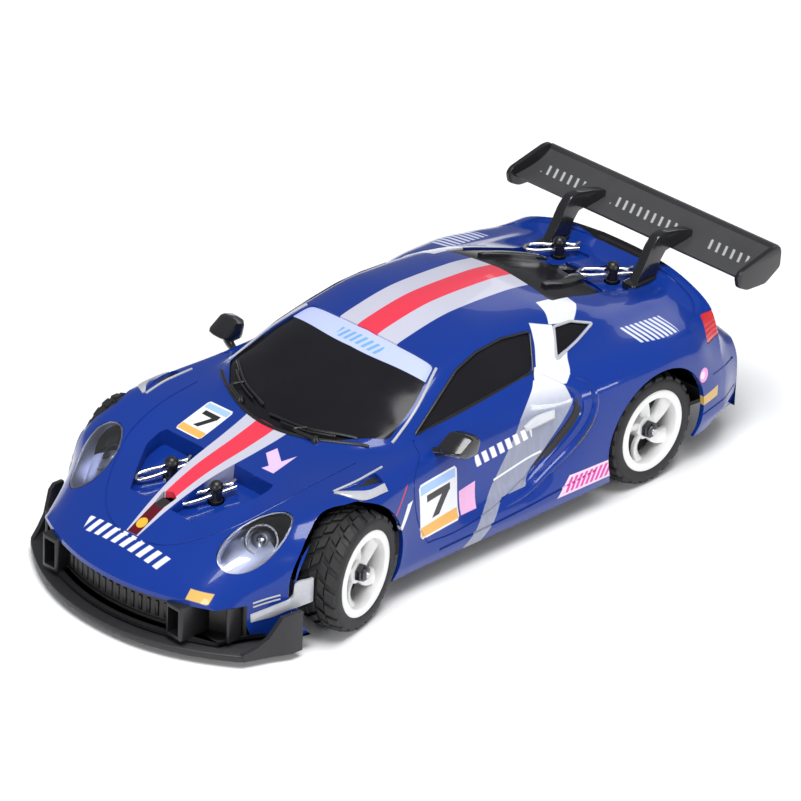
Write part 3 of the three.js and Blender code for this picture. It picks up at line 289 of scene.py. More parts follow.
def boolean(part, cutters, operation="DIFFERENCE"):
    """Joins or cuts closed parts one after another and returns (vertices, faces) in millimetres."""
    base = scratch(part)
    tools = []
    for cutter in cutters:
        tool = scratch(cutter)
        modifier = base.modifiers.new("cut", "BOOLEAN")
        modifier.object = tool
        modifier.operation = operation
        modifier.solver = "MANIFOLD"
        tools.append(tool)
    graph = bpy.context.evaluated_depsgraph_get()
    result = bpy.data.meshes.new_from_object(base.evaluated_get(graph))
    verts = np.empty(len(result.vertices) * 3)
    result.vertices.foreach_get("co", verts)
    faces = [list(p.vertices) for p in result.polygons]
    for piece in [base, *tools]:
        bpy.data.objects.remove(piece)
    return verts.reshape(-1, 3) / MM, faces


def mirrored(part):
    verts = np.array(part[0], float) * (1, -1, 1)
    return verts, [list(f)[::-1] for f in part[1]]


def moved(part, offset):
    return np.array(part[0], float) + np.array(offset, float), part[1]


def turned(part, matrix):
    m = np.array(matrix.to_3x3())
    return np.array(part[0], float) @ m.T + np.array(matrix.to_translation()), part[1]


def strip_solid(loops):
    """Closed solid through equal closed loops, capped at both ends."""
    count = len(loops[0])
    verts = np.concatenate([np.asarray(loop, float) for loop in loops])
    faces = []
    for i in range(len(loops) - 1):
        for k in range(count):
            a, b = i * count + k, i * count + (k + 1) % count
            faces.append([a, b, b + count, a + count])
    faces.append(list(range(count))[::-1])
    last = (len(loops) - 1) * count
    faces.append([last + k for k in range(count)])
    return verts, faces


def rounded(points, radius, steps=4):
    """The closed outline with each corner rounded off."""
    result = []
    count = len(points)
    for i in range(count):
        before, here, after = (np.array(points[(i + k) % count], float) for k in (-1, 0, 1))
        back, ahead = before - here, after - here
        reach = min(radius, np.linalg.norm(back) * 0.45, np.linalg.norm(ahead) * 0.45)
        start = here + back / np.linalg.norm(back) * reach
        end = here + ahead / np.linalg.norm(ahead) * reach
        for t in np.linspace(0, 1, steps + 1):
            result.append((1 - t) ** 2 * start + 2 * t * (1 - t) * here + t * t * end)
    return np.array(result)


def grown(outline, amount):
    centre = np.mean(outline, axis=0)
    away = np.array(outline) - centre
    length = np.linalg.norm(away, axis=1, keepdims=True)
    return centre + away * (length + amount) / length


def side_prism(outline, y0, y1):
    return strip_solid([[(x, y, z) for x, z in outline] for y in (y0, y1)])


def plan_prism(outline, z0, z1):
    return strip_solid([[(x, y, z) for x, y in outline] for z in (z0, z1)])


def bevelled_prism(outline, low, high, axis, bevel):
    """A prism whose rims are rounded off by bevel."""
    loops = []
    for at, inset in ((low, bevel), (low + bevel * 0.3, bevel * 0.3), (low + bevel, 0), (high - bevel, 0),
                      (high - bevel * 0.3, bevel * 0.3), (high, bevel)):
        ring = grown(outline, -inset)
        if axis == "y":
            loops.append([(x, at, z) for x, z in ring])
        else:
            loops.append([(x, y, at) for x, y in ring])
    return strip_solid(loops)


def box(x0, x1, y0, y1, z0, z1):
    return plan_prism([(x0, y0), (x1, y0), (x1, y1), (x0, y1)], z0, z1)


def soft_box(x0, x1, y0, y1, z0, z1, bevel=0.3):
    outline = rounded([(x0, y0), (x1, y0), (x1, y1), (x0, y1)], bevel * 2, 3)
    return bevelled_prism(outline, z0, z1, "z", bevel)


def mirrored_plan(half):
    return list(half) + [(x, -y) for x, y in reversed(half) if y != 0]


def turns_of(count):
    """Equal angles round one turn."""
    return np.linspace(0, 2 * math.pi, count, endpoint=False)


def frames_along(path):
    path = np.asarray(path, float)
    tangent = np.gradient(path, axis=0)
    tangent /= np.linalg.norm(tangent, axis=1, keepdims=True)
    side = np.cross(tangent[0], (0, 0, 1) if abs(tangent[0][2]) < 0.9 else (1, 0, 0))
    sides = []
    for t in tangent:
        side = side - t * (side @ t)
        side /= np.linalg.norm(side)
        sides.append(side)
    sides = np.array(sides)
    return path, sides, np.cross(tangent, sides)


def tube(path, radius, around=10):
    """Round tube along a path; radius may be one number or one for each point."""
    path, across, up = frames_along(path)
    radii = np.broadcast_to(radius, len(path))
    angle = turns_of(around)
    loops = [p + r * (np.outer(np.cos(angle), a) + np.outer(np.sin(angle), u))
             for p, r, a, u in zip(path, radii, across, up)]
    return strip_solid(loops)


def smooth_path(points, per_span=6):
    """Catmull-Rom curve through the points."""
    p = np.asarray(points, float)
    p = np.concatenate(([2 * p[0] - p[1]], p, [2 * p[-1] - p[-2]]))
    result = []
    for i in range(1, len(p) - 2):
        for t in np.linspace(0, 1, per_span, endpoint=False):
            result.append(0.5 * (2 * p[i] + (p[i + 1] - p[i - 1]) * t
                                 + (2 * p[i - 1] - 5 * p[i] + 4 * p[i + 1] - p[i + 2]) * t * t
                                 + (3 * p[i] - p[i - 1] - 3 * p[i + 1] + p[i + 2]) * t ** 3))
    result.append(p[-2])
    return np.array(result)


def lathe(profile, around=48):
    """Closed ring about Y from a closed (radius, y) profile that keeps off the axis."""
    profile = np.asarray(profile, float)
    count = len(profile)
    angle = turns_of(around)
    verts = [(r * math.sin(a), y, r * math.cos(a)) for a in angle for r, y in profile]
    faces = []
    for i in range(around):
        for k in range(count):
            a, b = i * count, (i + 1) % around * count
            faces.append([a + k, a + (k + 1) % count, b + (k + 1) % count, b + k])
    return np.array(verts), faces


def turned_solid(profile, around=32):
    """Solid of revolution about Y from (radius, y) points whose ends lie on the axis."""
    angles = turns_of(around)
    return strip_solid([[(r * math.sin(a), y, r * math.cos(a)) for a in angles] for r, y in profile])


def rod(radius, start, end, around=24):
    return tube([start, np.add(start, np.subtract(end, start) * 0.5), end], radius, around)


# ---- Materials ----
class Nodes:
    """Short forms for building shader nodes."""

    def __init__(self, name):
        self.material = bpy.data.materials.new(name)
        self.material.use_nodes = True
        self.tree = self.material.node_tree
        self.bsdf = self.tree.nodes["Principled BSDF"]
        coords = self.tree.nodes.new("ShaderNodeTexCoord")
        scale = self.tree.nodes.new("ShaderNodeVectorMath")
        scale.operation = "SCALE"
        scale.inputs["Scale"].default_value = 1 / MM
        self.tree.links.new(coords.outputs["Object"], scale.inputs[0])
        self.point = scale.outputs[0]
        split = self.tree.nodes.new("ShaderNodeSeparateXYZ")
        self.tree.links.new(self.point, split.inputs[0])
        self.x, self.y, self.z = split.outputs

    def put(self, socket, value):
        if isinstance(value, bpy.types.NodeSocket):
            self.tree.links.new(value, socket)
        else:
            socket.default_value = value

    def math(self, operation, a, b=0.0, clamp=False):
        node = self.tree.nodes.new("ShaderNodeMath")
        node.operation = operation
        node.use_clamp = clamp
        self.put(node.inputs[0], a)
        self.put(node.inputs[1], b)
        return node.outputs[0]

    def half_plane(self, u, v, a, b, soft):
        """1 on the left of the line from a to b, 0 on its right."""
        dx, dy = b[0] - a[0], b[1] - a[1]
        length = math.hypot(dx, dy)
        nx, ny = -dy / length / soft, dx / length / soft
        shifted = self.math("ADD", self.math("MULTIPLY", u, nx), 0.5 - nx * a[0] - ny * a[1])
        return self.math("ADD", self.math("MULTIPLY", v, ny), shifted, clamp=True)

    def polygon(self, u, v, points, soft=0.12):
        """Mask of a convex outline, either way round."""
        pairs = [(points[i - 1], points[i]) for i in range(len(points))]
        area = sum(a[0] * b[1] - b[0] * a[1] for a, b in pairs)
        points = points if area > 0 else points[::-1]
        mask = 1.0
        for i in range(len(points)):
            mask = self.math("MINIMUM", self.half_plane(u, v, points[i - 1], points[i], soft), mask)
        return mask

    def ring(self, u, v, centre, radius, soft=0.12):
        du, dv = self.math("SUBTRACT", u, centre[0]), self.math("SUBTRACT", v, centre[1])
        r = self.math("SQRT", self.math("ADD", self.math("MULTIPLY", du, du), self.math("MULTIPLY", dv, dv)))
        return self.below(r, radius, soft)

    def below(self, value, limit, soft=0.12):
        return self.math("ADD", self.math("MULTIPLY", value, -1 / soft), limit / soft + 0.5, clamp=True)

    def above(self, value, limit, soft=0.12):
        return self.math("ADD", self.math("MULTIPLY", value, 1 / soft), 0.5 - limit / soft, clamp=True)

    def both(self, *masks):
        result = masks[0]
        for mask in masks[1:]:
            result = self.math("MULTIPLY", result, mask)
        return result

    def either(self, *masks):
        result = masks[0]
        for mask in masks[1:]:
            result = self.math("MAXIMUM", result, mask)
        return result

    def mix(self, factor, a, b):
        node = self.tree.nodes.new("ShaderNodeMix")
        node.data_type = "RGBA"
        self.put(node.inputs["Factor"], factor)
        for socket, value in ((node.inputs[6], a), (node.inputs[7], b)):
            self.put(socket, (*value, 1) if isinstance(value, tuple) else value)
        return node.outputs[2]

    def over(self, colour, paint, *masks):
        """Paint laid over a colour where all the masks meet."""
        return self.mix(self.both(*masks), colour, paint)

    def noise(self, scale, detail=3.0, vector=None):
        """Noise over the object; scale is features per millimetre."""
        node = self.tree.nodes.new("ShaderNodeTexNoise")
        node.inputs["Scale"].default_value = scale
        node.inputs["Detail"].default_value = detail
        self.tree.links.new(vector or self.point, node.inputs["Vector"])
        return node.outputs["Fac"]

    def squeezed(self, factors):
        """Position with each axis scaled, for streaks along one of them."""
        node = self.tree.nodes.new("ShaderNodeVectorMath")
        node.operation = "MULTIPLY"
        self.tree.links.new(self.point, node.inputs[0])
        node.inputs[1].default_value = factors
        return node.outputs[0]

    def stretch(self, value, low, high):
        """Maps 0..1 onto low..high."""
        return self.math("ADD", self.math("MULTIPLY", value, high - low), low)

    def bump(self, height, distance, strength=1.0):
        node = self.tree.nodes.new("ShaderNodeBump")
        node.inputs["Distance"].default_value = distance * MM
        node.inputs["Strength"].default_value = strength
        self.put(node.inputs["Height"], height)
        self.tree.links.new(node.outputs["Normal"], self.bsdf.inputs["Normal"])

    def set(self, **values):
        for key, value in values.items():
            socket = self.bsdf.inputs[key.replace("_", " ")]
            self.put(socket, (*value, 1) if isinstance(value, tuple) else value)


def moulded(name, colour, roughness, grain=3.0, depth=0.02, coat=0.0, variation=0.12):
    """Moulded plastic: slight colour mottling, fine grain and uneven gloss."""
    n = Nodes(name)
    mottling = n.noise(0.18, 4)
    darker = tuple(c * (1 - variation) for c in colour)
    lighter = tuple(min(c * (1 + variation) + 0.002, 1) for c in colour)
    gloss = n.stretch(n.noise(0.6), roughness - 0.06, roughness + 0.06)
    n.set(Base_Color=n.mix(mottling, darker, lighter), Roughness=gloss, Coat_Weight=coat, Coat_Roughness=0.08)
    n.bump(n.noise(grain, 2), depth)
    return n.material


def metal(name, colour, roughness, scratch_scale=2.0):
    n = Nodes(name)
    wear = n.noise(scratch_scale, 5)
    n.set(Base_Color=n.mix(wear, tuple(c * 0.86 for c in colour), colour), Metallic=1.0,
          Roughness=n.stretch(n.noise(scratch_scale * 2, 3), max(roughness - 0.07, 0.02), roughness + 0.07))
    n.bump(wear, 0.008)
    return n.material


BLUE = (0.005, 0.031, 0.235)
SILVER = (0.26, 0.28, 0.37)
PILLAR_SILVER = (0.68, 0.70, 0.77)
PALE = (0.62, 0.66, 0.86)
WHITE = (0.78, 0.78, 0.82)
STRIPE = (0.50, 0.50, 0.60)
RED = (0.70, 0.040, 0.075)
GOLD = (0.62, 0.40, 0.12)
PINK = (0.78, 0.42, 0.68)
BLACK = (0.012, 0.012, 0.014)
INK = (0.02, 0.02, 0.02)
PLATE_FACE, PLATE_TOP, PLATE_FOOT = (0.80, 0.81, 0.86), (0.35, 0.52, 0.86), (0.80, 0.42, 0.10)
STRIPE_END, BADGE, ARROW = (0.10, 0.004, 0.012), (0.74, 0.42, 0.04), (0.66, 0.48, 0.78)
NOSE_BARS, DOOR_BARS = (0.84, 0.84, 0.88), (0.82, 0.82, 0.86)
SILL_PATCH, SILL_BARS = (0.80, 0.60, 0.78), (0.66, 0.05, 0.34)
DOT_EDGE, DOT_FACE = (0.82, 0.30, 0.62), (0.84, 0.70, 0.90)
PINSTRIPE = (0.5, 0.03, 0.06)
BANNER, BANNER_BARS = (0.46, 0.52, 0.82), (0.16, 0.36, 0.78)
WING_BARS = (0.42, 0.42, 0.43)


def bars(n, u, v, slant, pitch, fill, box_points):
    """Slanted bars inside an outline: a generic graphic in place of lettering."""
    shifted = n.math("ADD", u, n.math("MULTIPLY", v, slant))
    wave = n.math("PINGPONG", n.math("MULTIPLY", shifted, 1 / pitch), 0.5)
    return n.both(n.below(wave, fill / 2, 0.12), n.polygon(u, v, box_points))


def number_plate(n, colour, u, v, outline, mask):
    """A plate with a pale top band, an orange foot and a plain numeral seven."""
    (u0, v0), (u1, v1) = outline

    def shape(*points):
        return n.polygon(u, v, [(u0 + (u1 - u0) * s, v0 + (v1 - v0) * t) for s, t in points])

    def bar(s0, t0, s1, t1):
        return shape((s0, t0), (s1, t0), (s1, t1), (s0, t1))

    face = shape((0, 0.06), (0.05, 0), (0.95, 0), (1, 0.06), (1, 0.94), (0.95, 1), (0.05, 1), (0, 0.94))
    colour = n.over(colour, PLATE_FACE, mask, face)
    colour = n.over(colour, PLATE_TOP, mask, bar(0.04, 0.8, 0.96, 0.96))
    colour = n.over(colour, PLATE_FOOT, mask, bar(0.02, 0.03, 0.98, 0.22))
    top, leg = bar(0.2, 0.62, 0.82, 0.75), shape((0.62, 0.64), (0.82, 0.64), (0.52, 0.28), (0.32, 0.28))
    return n.over(colour, INK, mask, n.either(top, leg))


def band_mask(n, x, z, side):
    """Silver band down the roof side, the pillar, the door and the sill."""
    outboard = n.above(side, 15.8, 0.2)
    pieces = [
        [(-29.6, 44.6), (-26.8, 42.0), (-34.4, 40.4), (-39.2, 41.6), (-38.6, 43.6)],
        [(-22.0, 43.4), (-27.6, 41.7), (-24.2, 36.4), (-17.4, 36.0)],
        [(-17.2, 36.6), (-28.2, 37.0), (-22.2, 33.0), (-15.2, 34.4)],
        [(-15.2, 34.8), (-21.6, 33.6), (-22.0, 29.4), (-18.8, 25.4), (-11.4, 17.0), (1.4, 17.2),
         (-8.2, 28.9)],
        [(1.5, 17.3), (-11.8, 17.3), (-7.9, 13.4), (4.6, 13.4)],
        [(6.9, 5.4), (12.4, 5.4), (4.6, 13.6), (-0.6, 13.6)],
    ]
    mask = n.either(*[n.polygon(x, z, piece) for piece in pieces])
    return n.both(mask, outboard)


def hood_print(n, colour, on_top):
    """Stripes, badge, nose bars, number plate and arrow, seen from above."""
    x, y = n.x, n.y
    side = n.math("ABSOLUTE", y)
    hood = n.both(n.above(x, 30, 0.2), on_top)
    for paint, half in (
            (STRIPE, [(28, -1), (77.6, -1), (77.6, 1.9), (58, 4.0), (38, 6.3), (28, 7.2)]),
            (RED, [(28, -1), (68.4, -1), (68.4, 1.5), (58, 2.0), (38, 2.8), (28, 3.1)]),
            (STRIPE_END, [(68.2, -1), (77.6, -1), (77.6, 1.4), (68.2, 1.5)])):
        colour = n.over(colour, paint, hood, n.polygon(x, side, half))
    colour = n.over(colour, BADGE, n.ring(x, y, (74.7, 0), 1.25), on_top)
    nose = bars(n, y, x, 0.35, 2.6, 0.52, [(-12.6, 77.9), (12.6, 77.9), (11.8, 81.0), (-11.8, 81.0)])
    colour = n.over(colour, NOSE_BARS, nose, on_top)
    plate = n.both(on_top, n.above(x, 36, 0.1), n.below(y, 0, 0.1))
    across, back = n.math("ADD", y, n.math("MULTIPLY", x, -0.08)), n.math("MULTIPLY", x, -1.0)
    colour = number_plate(n, colour, across, back, ((-19.6, -50.6), (-12.0, -39.4)), plate)
    arrow = n.either(n.polygon(x, y, [(42.6, 8.0), (45.2, 7.2), (48.0, 11.0), (45.4, 12.2)]),
                     n.polygon(x, y, [(42.0, 13.4), (49.4, 10.2), (49.2, 13.6)]))
    return n.over(colour, ARROW, arrow, on_top, n.above(y, 0))


def flank_print(n, colour, side):
    """Door plate, bars and small marks, seen from the side."""
    x, z = n.x, n.z
    door = n.both(n.above(side, 27), n.below(z, 33))
    note = n.polygon(x, z, [(7.4, 13.6), (12.2, 13.6), (12.2, 19.2), (7.0, 19.8)])
    colour = n.over(colour, PINK, door, note)
    colour = number_plate(n, colour, n.math("MULTIPLY", x, -1.0), z, ((-25.8, 13.0), (-12.8, 25.8)), door)
    word = bars(n, x, z, -0.35, 2.5, 0.6, [(-11.0, 24.0), (6.8, 22.8), (6.8, 25.6), (-11.0, 26.6)])
    colour = n.over(colour, DOOR_BARS, word, door)
    lowest = n.polygon(x, z, [(-16.4, 7.9), (-20.2, 12.4), (-34.6, 12.4), (-33.0, 7.9)])
    colour = n.over(colour, SILL_PATCH, lowest, door)
    low = bars(n, x, z, 0.5, 1.5, 0.62, [(-18.0, 8.5), (-20.6, 11.8), (-33.6, 11.8), (-32.4, 8.5)])
    colour = n.over(colour, SILL_BARS, low, door)
    fender = bars(n, x, z, -0.3, 1.5, 0.55, [(-58.6, 33.6), (-45.6, 35.0), (-45.6, 36.7), (-58.6, 35.2)])
    colour = n.over(colour, PALE, fender, n.above(side, 26.5, 0.3))
    corner = n.both(n.above(side, 30), n.below(x, -58, 0.1))
    front = n.above(side, 30)
    colour = n.over(colour, DOT_EDGE, corner, n.ring(x, z, (-62.7, 22.8), 1.7))
    colour = n.over(colour, DOT_FACE, corner, n.ring(x, z, (-62.3, 22.9), 0.9))
    for paint, where, outline in (
            (GOLD, corner, [(-62.4, 14.8), (-68.6, 15.4), (-68.6, 18.0), (-62.4, 17.2)]),
            (WHITE, front, [(33.4, 18.0), (32.0, 18.2), (28.2, 23.6), (30.0, 23.4)]),
            (PINSTRIPE, front, [(29.2, 27.6), (30.0, 27.4), (34.8, 22.2), (34.3, 22.2)])):
        colour = n.over(colour, paint, n.polygon(x, z, outline), where)
    return colour


def paint_material():
    """Blue gloss shell with its printed stripes, band, plates and small marks."""
    n = Nodes("shell_paint")
    side = n.math("ABSOLUTE", n.y)
    colour = n.mix(n.noise(0.03, 2), tuple(c * 0.9 for c in BLUE), tuple(c * 1.12 for c in BLUE))
    on_top = n.above(n.z, 12.5, 0.3)
    streak = n.noise(1.2, 4, n.squeezed((1, 1, 0.12)))
    band = n.mix(streak, tuple(c * 0.8 for c in SILVER), tuple(c * 1.2 for c in SILVER))
    band = n.over(band, PILLAR_SILVER, n.above(n.z, 31.0, 5.0))
    colour = n.over(colour, band, band_mask(n, n.x, n.z, side))
    line = n.polygon(n.x, n.z, [(-13.4, 19.6), (1.2, 17.6), (1.2, 18.1), (-13.4, 20.1)])
    colour = n.over(colour, WHITE, line, n.above(side, 30))
    colour = hood_print(n, colour, on_top)
    roof = n.both(n.below(n.x, 14, 0.2), n.above(n.x, -40, 0.2), n.above(n.z, 38.5, 0.3))
    colour = n.over(colour, STRIPE, roof, n.below(side, 8.8))
    colour = n.over(colour, RED, roof, n.below(side, 3.1))
    colour = flank_print(n, colour, side)
    brow = n.polygon(side, n.z, [(20.6, 13.5), (25.2, 13.2), (25.0, 14.9), (20.4, 15.3)])
    colour = n.over(colour, GOLD, brow, n.above(n.x, 76), n.above(n.y, 0))
    tail = n.both(n.below(n.x, -64, 0.2), n.above(n.z, 36.2, 0.2))
    bow = n.math("MULTIPLY", n.math("MULTIPLY", side, side), 0.0086)
    colour = n.over(colour, BLACK, tail, n.below(n.math("ADD", n.x, bow), -72.6, 0.1))
    colour = n.over(colour, BLACK, n.below(n.z, 4.75), n.above(n.x, 64), n.below(side, 31.5))
    n.set(Base_Color=colour, Roughness=0.2, Coat_Weight=0.7, Coat_Roughness=0.03, Coat_IOR=1.4,
          Specular_IOR_Level=0.15)
    n.bump(n.noise(0.9, 2), 0.012)
    return n.material


def glass_material():
    """Glossy black moulding with the pale banner at the top of the windscreen."""
    n = Nodes("window_black")
    soft = n.noise(0.05, 3)
    colour = n.mix(soft, (0.006, 0.006, 0.008), (0.014, 0.014, 0.017))
    arc = n.math("ADD", n.x, n.math("MULTIPLY", n.math("MULTIPLY", n.y, n.y), 0.0066))
    banner = n.both(n.above(n.x, 2, 0.1), n.below(arc, 13.1, 0.12), n.below(n.math("ABSOLUTE", n.y), 21.2))
    colour = n.over(colour, BANNER, banner)
    mark = bars(n, n.y, n.x, 0.4, 1.8, 0.5, [(-6.0, 9.4), (7.0, 9.4), (7.0, 12.0), (-6.0, 12.0)])
    colour = n.over(colour, BANNER_BARS, banner, mark)
    n.set(Base_Color=colour, Roughness=n.stretch(n.noise(0.4), 0.12, 0.19), Specular_IOR_Level=0.2)
    n.bump(n.noise(0.5, 2), 0.006)
    return n.material


def lens_material(name, tint, roughness=0.03):
    n = Nodes(name)
    n.set(Base_Color=n.mix(n.noise(0.3), tuple(c * 0.94 for c in tint), tint), Roughness=roughness,
          Transmission_Weight=1.0, IOR=1.46, Coat_Weight=0.5, Coat_Roughness=0.02)
    n.bump(n.noise(0.6, 2), 0.004)
    return n.material


def tyre_material():
    n = Nodes("tyre_rubber")
    dust = n.noise(0.5, 5)
    n.set(Base_Color=n.mix(dust, (0.005, 0.005, 0.006), (0.012, 0.012, 0.013)),
          Roughness=n.stretch(dust, 0.52, 0.74))
    n.bump(n.noise(5, 3), 0.03)
    return n.material


def tail_material():
    n = Nodes("tail_lens")
    ribs = n.math("SINE", n.math("MULTIPLY", n.z, 7.0))
    # The weak red emission is a painted glow: the tail lenses have no lamp behind them.
    n.set(Base_Color=n.mix(n.noise(0.5), (0.42, 0.012, 0.02), (0.62, 0.03, 0.04)), Roughness=0.12,
          Coat_Weight=1.0, Coat_Roughness=0.03, Emission_Color=(0.6, 0.02, 0.03), Emission_Strength=0.08)
    n.bump(ribs, 0.05)
    return n.material


def wing_material():
    """Satin black with plain slanted bars where the real wing carries print."""
    n = Nodes("wing_satin")
    mottling = n.noise(0.15, 4)
    colour = n.mix(mottling, (0.034, 0.034, 0.035), (0.052, 0.052, 0.054))
    top = n.above(n.z, 41.2, 0.2)
    marks = [bars(n, n.y, n.x, -0.5, 2.2, 0.3, [(a, -83.8), (b, -83.8), (b, -80.6), (a, -80.6)])
             for a, b in ((-31.5, -19.5), (-9.5, 9.5), (19.5, 31.5))]
    colour = n.over(colour, WING_BARS, top, n.either(*marks))
    n.set(Base_Color=colour, Roughness=n.stretch(n.noise(0.8), 0.34, 0.46))
    n.bump(n.noise(4, 2), 0.015)
    return n.material


PAINT = paint_material()
WINDOW = glass_material()
SATIN = moulded("satin_black_plastic", (0.009, 0.009, 0.010), 0.34)
GLOSS_BLACK = moulded("gloss_black_plastic", (0.010, 0.010, 0.012), 0.2, grain=1.0, depth=0.006, coat=0.5)
CHARCOAL = moulded("charcoal_plastic", (0.012, 0.012, 0.014), 0.42, grain=4, depth=0.03)
NYLON = moulded("chassis_nylon", (0.012, 0.012, 0.013), 0.5, grain=4, depth=0.03)
WHITE_RIM = moulded("white_nylon", (0.82, 0.82, 0.81), 0.3, grain=2, depth=0.008, coat=0.3, variation=0.02)
CHROME = metal("plated_wire", (0.78, 0.78, 0.80), 0.14)
DARK_STEEL = metal("blackened_steel", (0.10, 0.10, 0.11), 0.3)
SHAFT_STEEL = metal("turned_steel", (0.6, 0.6, 0.62), 0.25)
BRASS = metal("turned_brass", (0.72, 0.50, 0.20), 0.25)
SILVER_TRIM = moulded("silver_trim", (0.42, 0.43, 0.47), 0.26, grain=2, depth=0.006, coat=0.8)
HANDLE = moulded("handle_silver", (0.55, 0.56, 0.60), 0.22, grain=2, depth=0.006, coat=0.8)
REFLECTOR = metal("lamp_reflector", (0.42, 0.44, 0.52), 0.3, 0.4)
LAMP_GREY = metal("lamp_grey", (0.42, 0.44, 0.56), 0.34, 0.5)
LENS = lens_material("clear_lens", (0.93, 0.95, 1.0))
TAIL_LENS = tail_material()
TYRE = tyre_material()
WING = wing_material()
BATTERY = moulded("battery_wrap", (0.03, 0.10, 0.36), 0.3, coat=0.4)
BOARD = moulded("solder_mask", (0.01, 0.09, 0.03), 0.35, grain=1.2, depth=0.03)
SWITCH_GREY = moulded("switch_grey", (0.4, 0.4, 0.4), 0.4)


# ---- Body surface queries ----
OUTER = loft_solid(0, 3.6)
SURFACE = BVHTree.FromPolygons([Vector(v) for v in OUTER[0]], [tuple(map(int, f)) for f in OUTER[1]])


def on_side(x, z, side=1, lift=0.0):
    """Point on the flank at (x, z), moved out by lift."""
    hit, normal, _, _ = SURFACE.ray_cast(Vector((x, 60 * side, z)), Vector((0, -side, 0)))
    if hit is None:
        hit, normal, _, _ = SURFACE.find_nearest(Vector((x, 40 * side, z)))
    normal = normal if normal.y * side > 0 else -normal
    return np.array(hit + normal * lift)


def on_top(x, y, lift=0.0):
    hit, normal, _, _ = SURFACE.ray_cast(Vector((x, y, 70)), Vector((0, 0, -1)))
    if hit is None:
        hit, normal, _, _ = SURFACE.find_nearest(Vector((x, y, 40)))
    normal = normal if normal.z > 0 else -normal
    return np.array(hit + normal * lift)


def traced(points, mapper, lift=0.0, per_span=8):
    """Smooth path through the points, laid on a surface."""
    return [mapper(*p, lift=lift) for p in smooth_path(points, per_span)]


def groove(points, mapper, radius):
    return tube(traced(points, mapper), radius, 8)


def flank(side):
    """Mapper onto one flank."""
    return lambda x, z, lift=0.0: on_side(x, z, side, lift)


def crown(side):
    """Mapper onto the top surface, with y counted away from the centre line."""
    return lambda x, y, lift=0.0: on_top(x, y * side, lift)


def swelling(path, thin, swell, power, around):
    """Tube that is thin at both ends and swells towards its middle."""
    t = np.linspace(0, 1, len(path))
    return tube(path, thin + swell * np.sin(math.pi * t) ** power, around)


def patch(upper, lower, mapper, thick, columns=28, rows=5, sink=0.4):
    """A cushion-like plate that follows the surface between two edge curves."""
    top_edge = resampled(upper, columns)
    low_edge = resampled(lower, columns)
    outer, inner = [], []
    for i in range(columns):
        for j in range(rows):
            t = j / (rows - 1)
            a, b = top_edge[i] * (1 - t) + low_edge[i] * t
            end = min(i, columns - 1 - i) / 2
            edge = min(j, rows - 1 - j, end, 1)
            outer.append(mapper(a, b, lift=thick * (0.55 + 0.45 * edge)))
            inner.append(mapper(a, b, lift=-sink))
    count = columns * rows
    verts = np.array(outer + inner)
    grid = [list(map(int, f)) for f in grid_faces(columns, rows)]
    faces = grid + [[v + count for v in f][::-1] for f in grid]
    rim = [i * rows for i in range(columns)] + [(columns - 1) * rows + j for j in range(1, rows)]
    rim += [i * rows + rows - 1 for i in range(columns - 2, -1, -1)] + [j for j in range(rows - 2, 0, -1)]
    for a, b in zip(rim, rim[1:] + rim[:1]):
        faces.append([a, b, b + count, a + count])
    return verts, faces


def resampled(points, count):
    path = smooth_path([(*p, 0) for p in points], 8)[:, :2]
    run = np.concatenate(([0], np.cumsum(np.linalg.norm(np.diff(path, axis=0), axis=1))))
    t = np.linspace(0, run[-1], count)
    return np.stack((np.interp(t, run, path[:, 0]), np.interp(t, run, path[:, 1])), axis=1)


# ---- Outlines cut in the shell ----
SIDE_WINDOW = rounded([(19.6, 32.9), (-16.4, 36.1), (-20.6, 42.4), (-12, 43.3), (-4, 42.9), (3, 41.2),
                       (11, 37.6)], 0.8)
QUARTER_WINDOW = rounded([(-27.6, 41.4), (-33.4, 40.7), (-39.4, 38.6), (-32, 37.6), (-24.0, 36.4)], 0.6)
WINDSCREEN = rounded(mirrored_plan([(37.8, 4), (36.8, 10), (33.2, 17), (25.6, 24.6), (15.4, 22.6),
                                    (6.4, 19.2), (7.4, 10), (7.8, 3)]), 1.6)
REAR_WINDOW = rounded(mirrored_plan([(-34.4, 3), (-34.0, 9), (-33.2, 16.6), (-46, 15.8), (-57, 13.8),
                                     (-59, 6), (-59, 3)]), 1.4)
LAMP_AT, LAMP_ALONG, LAMP_FACING = (64.4, 24.4, 22.1), (-16.5, 5, 9.4), (0.5, 0.4, 0.77)
LAMP_HALF = (9.6, 5.2)
TAIL_LIGHT = rounded([(-66.2, 28.2), (-78, 28.2), (-78, 32.8), (-68.2, 33.4)], 0.9)


def lamp_axes(side):
    u = Vector((LAMP_ALONG[0], LAMP_ALONG[1] * side, LAMP_ALONG[2])).normalized()
    n = Vector((LAMP_FACING[0], LAMP_FACING[1] * side, LAMP_FACING[2]))
    n = (n - u * n.dot(u)).normalized()
    return u, n.cross(u), n


def lamp_prism(side, margin, low=-7, high=7):
    """Egg-shaped prism along the lamp's facing direction, wider at its lower front end."""
    u, v, n = (np.array(a) for a in lamp_axes(side))
    at = np.array((LAMP_AT[0], LAMP_AT[1] * side, LAMP_AT[2]))
    loops = []
    for depth in (low, high):
        ring = []
        for a in turns_of(56):
            wide = (LAMP_HALF[1] - margin) * (1 - 0.10 * math.cos(a))
            ring.append(at + u * (LAMP_HALF[0] - margin) * math.cos(a) + v * wide * math.sin(a) + n * depth)
        loops.append(ring)
    return strip_solid(loops)


def lamp_point(side, along, across, out):
    u, v, n = (np.array(a) for a in lamp_axes(side))
    return np.array((LAMP_AT[0], LAMP_AT[1] * side, LAMP_AT[2])) + u * along + v * across * side + n * out


def both_sides(part):
    return [part, mirrored(part)]


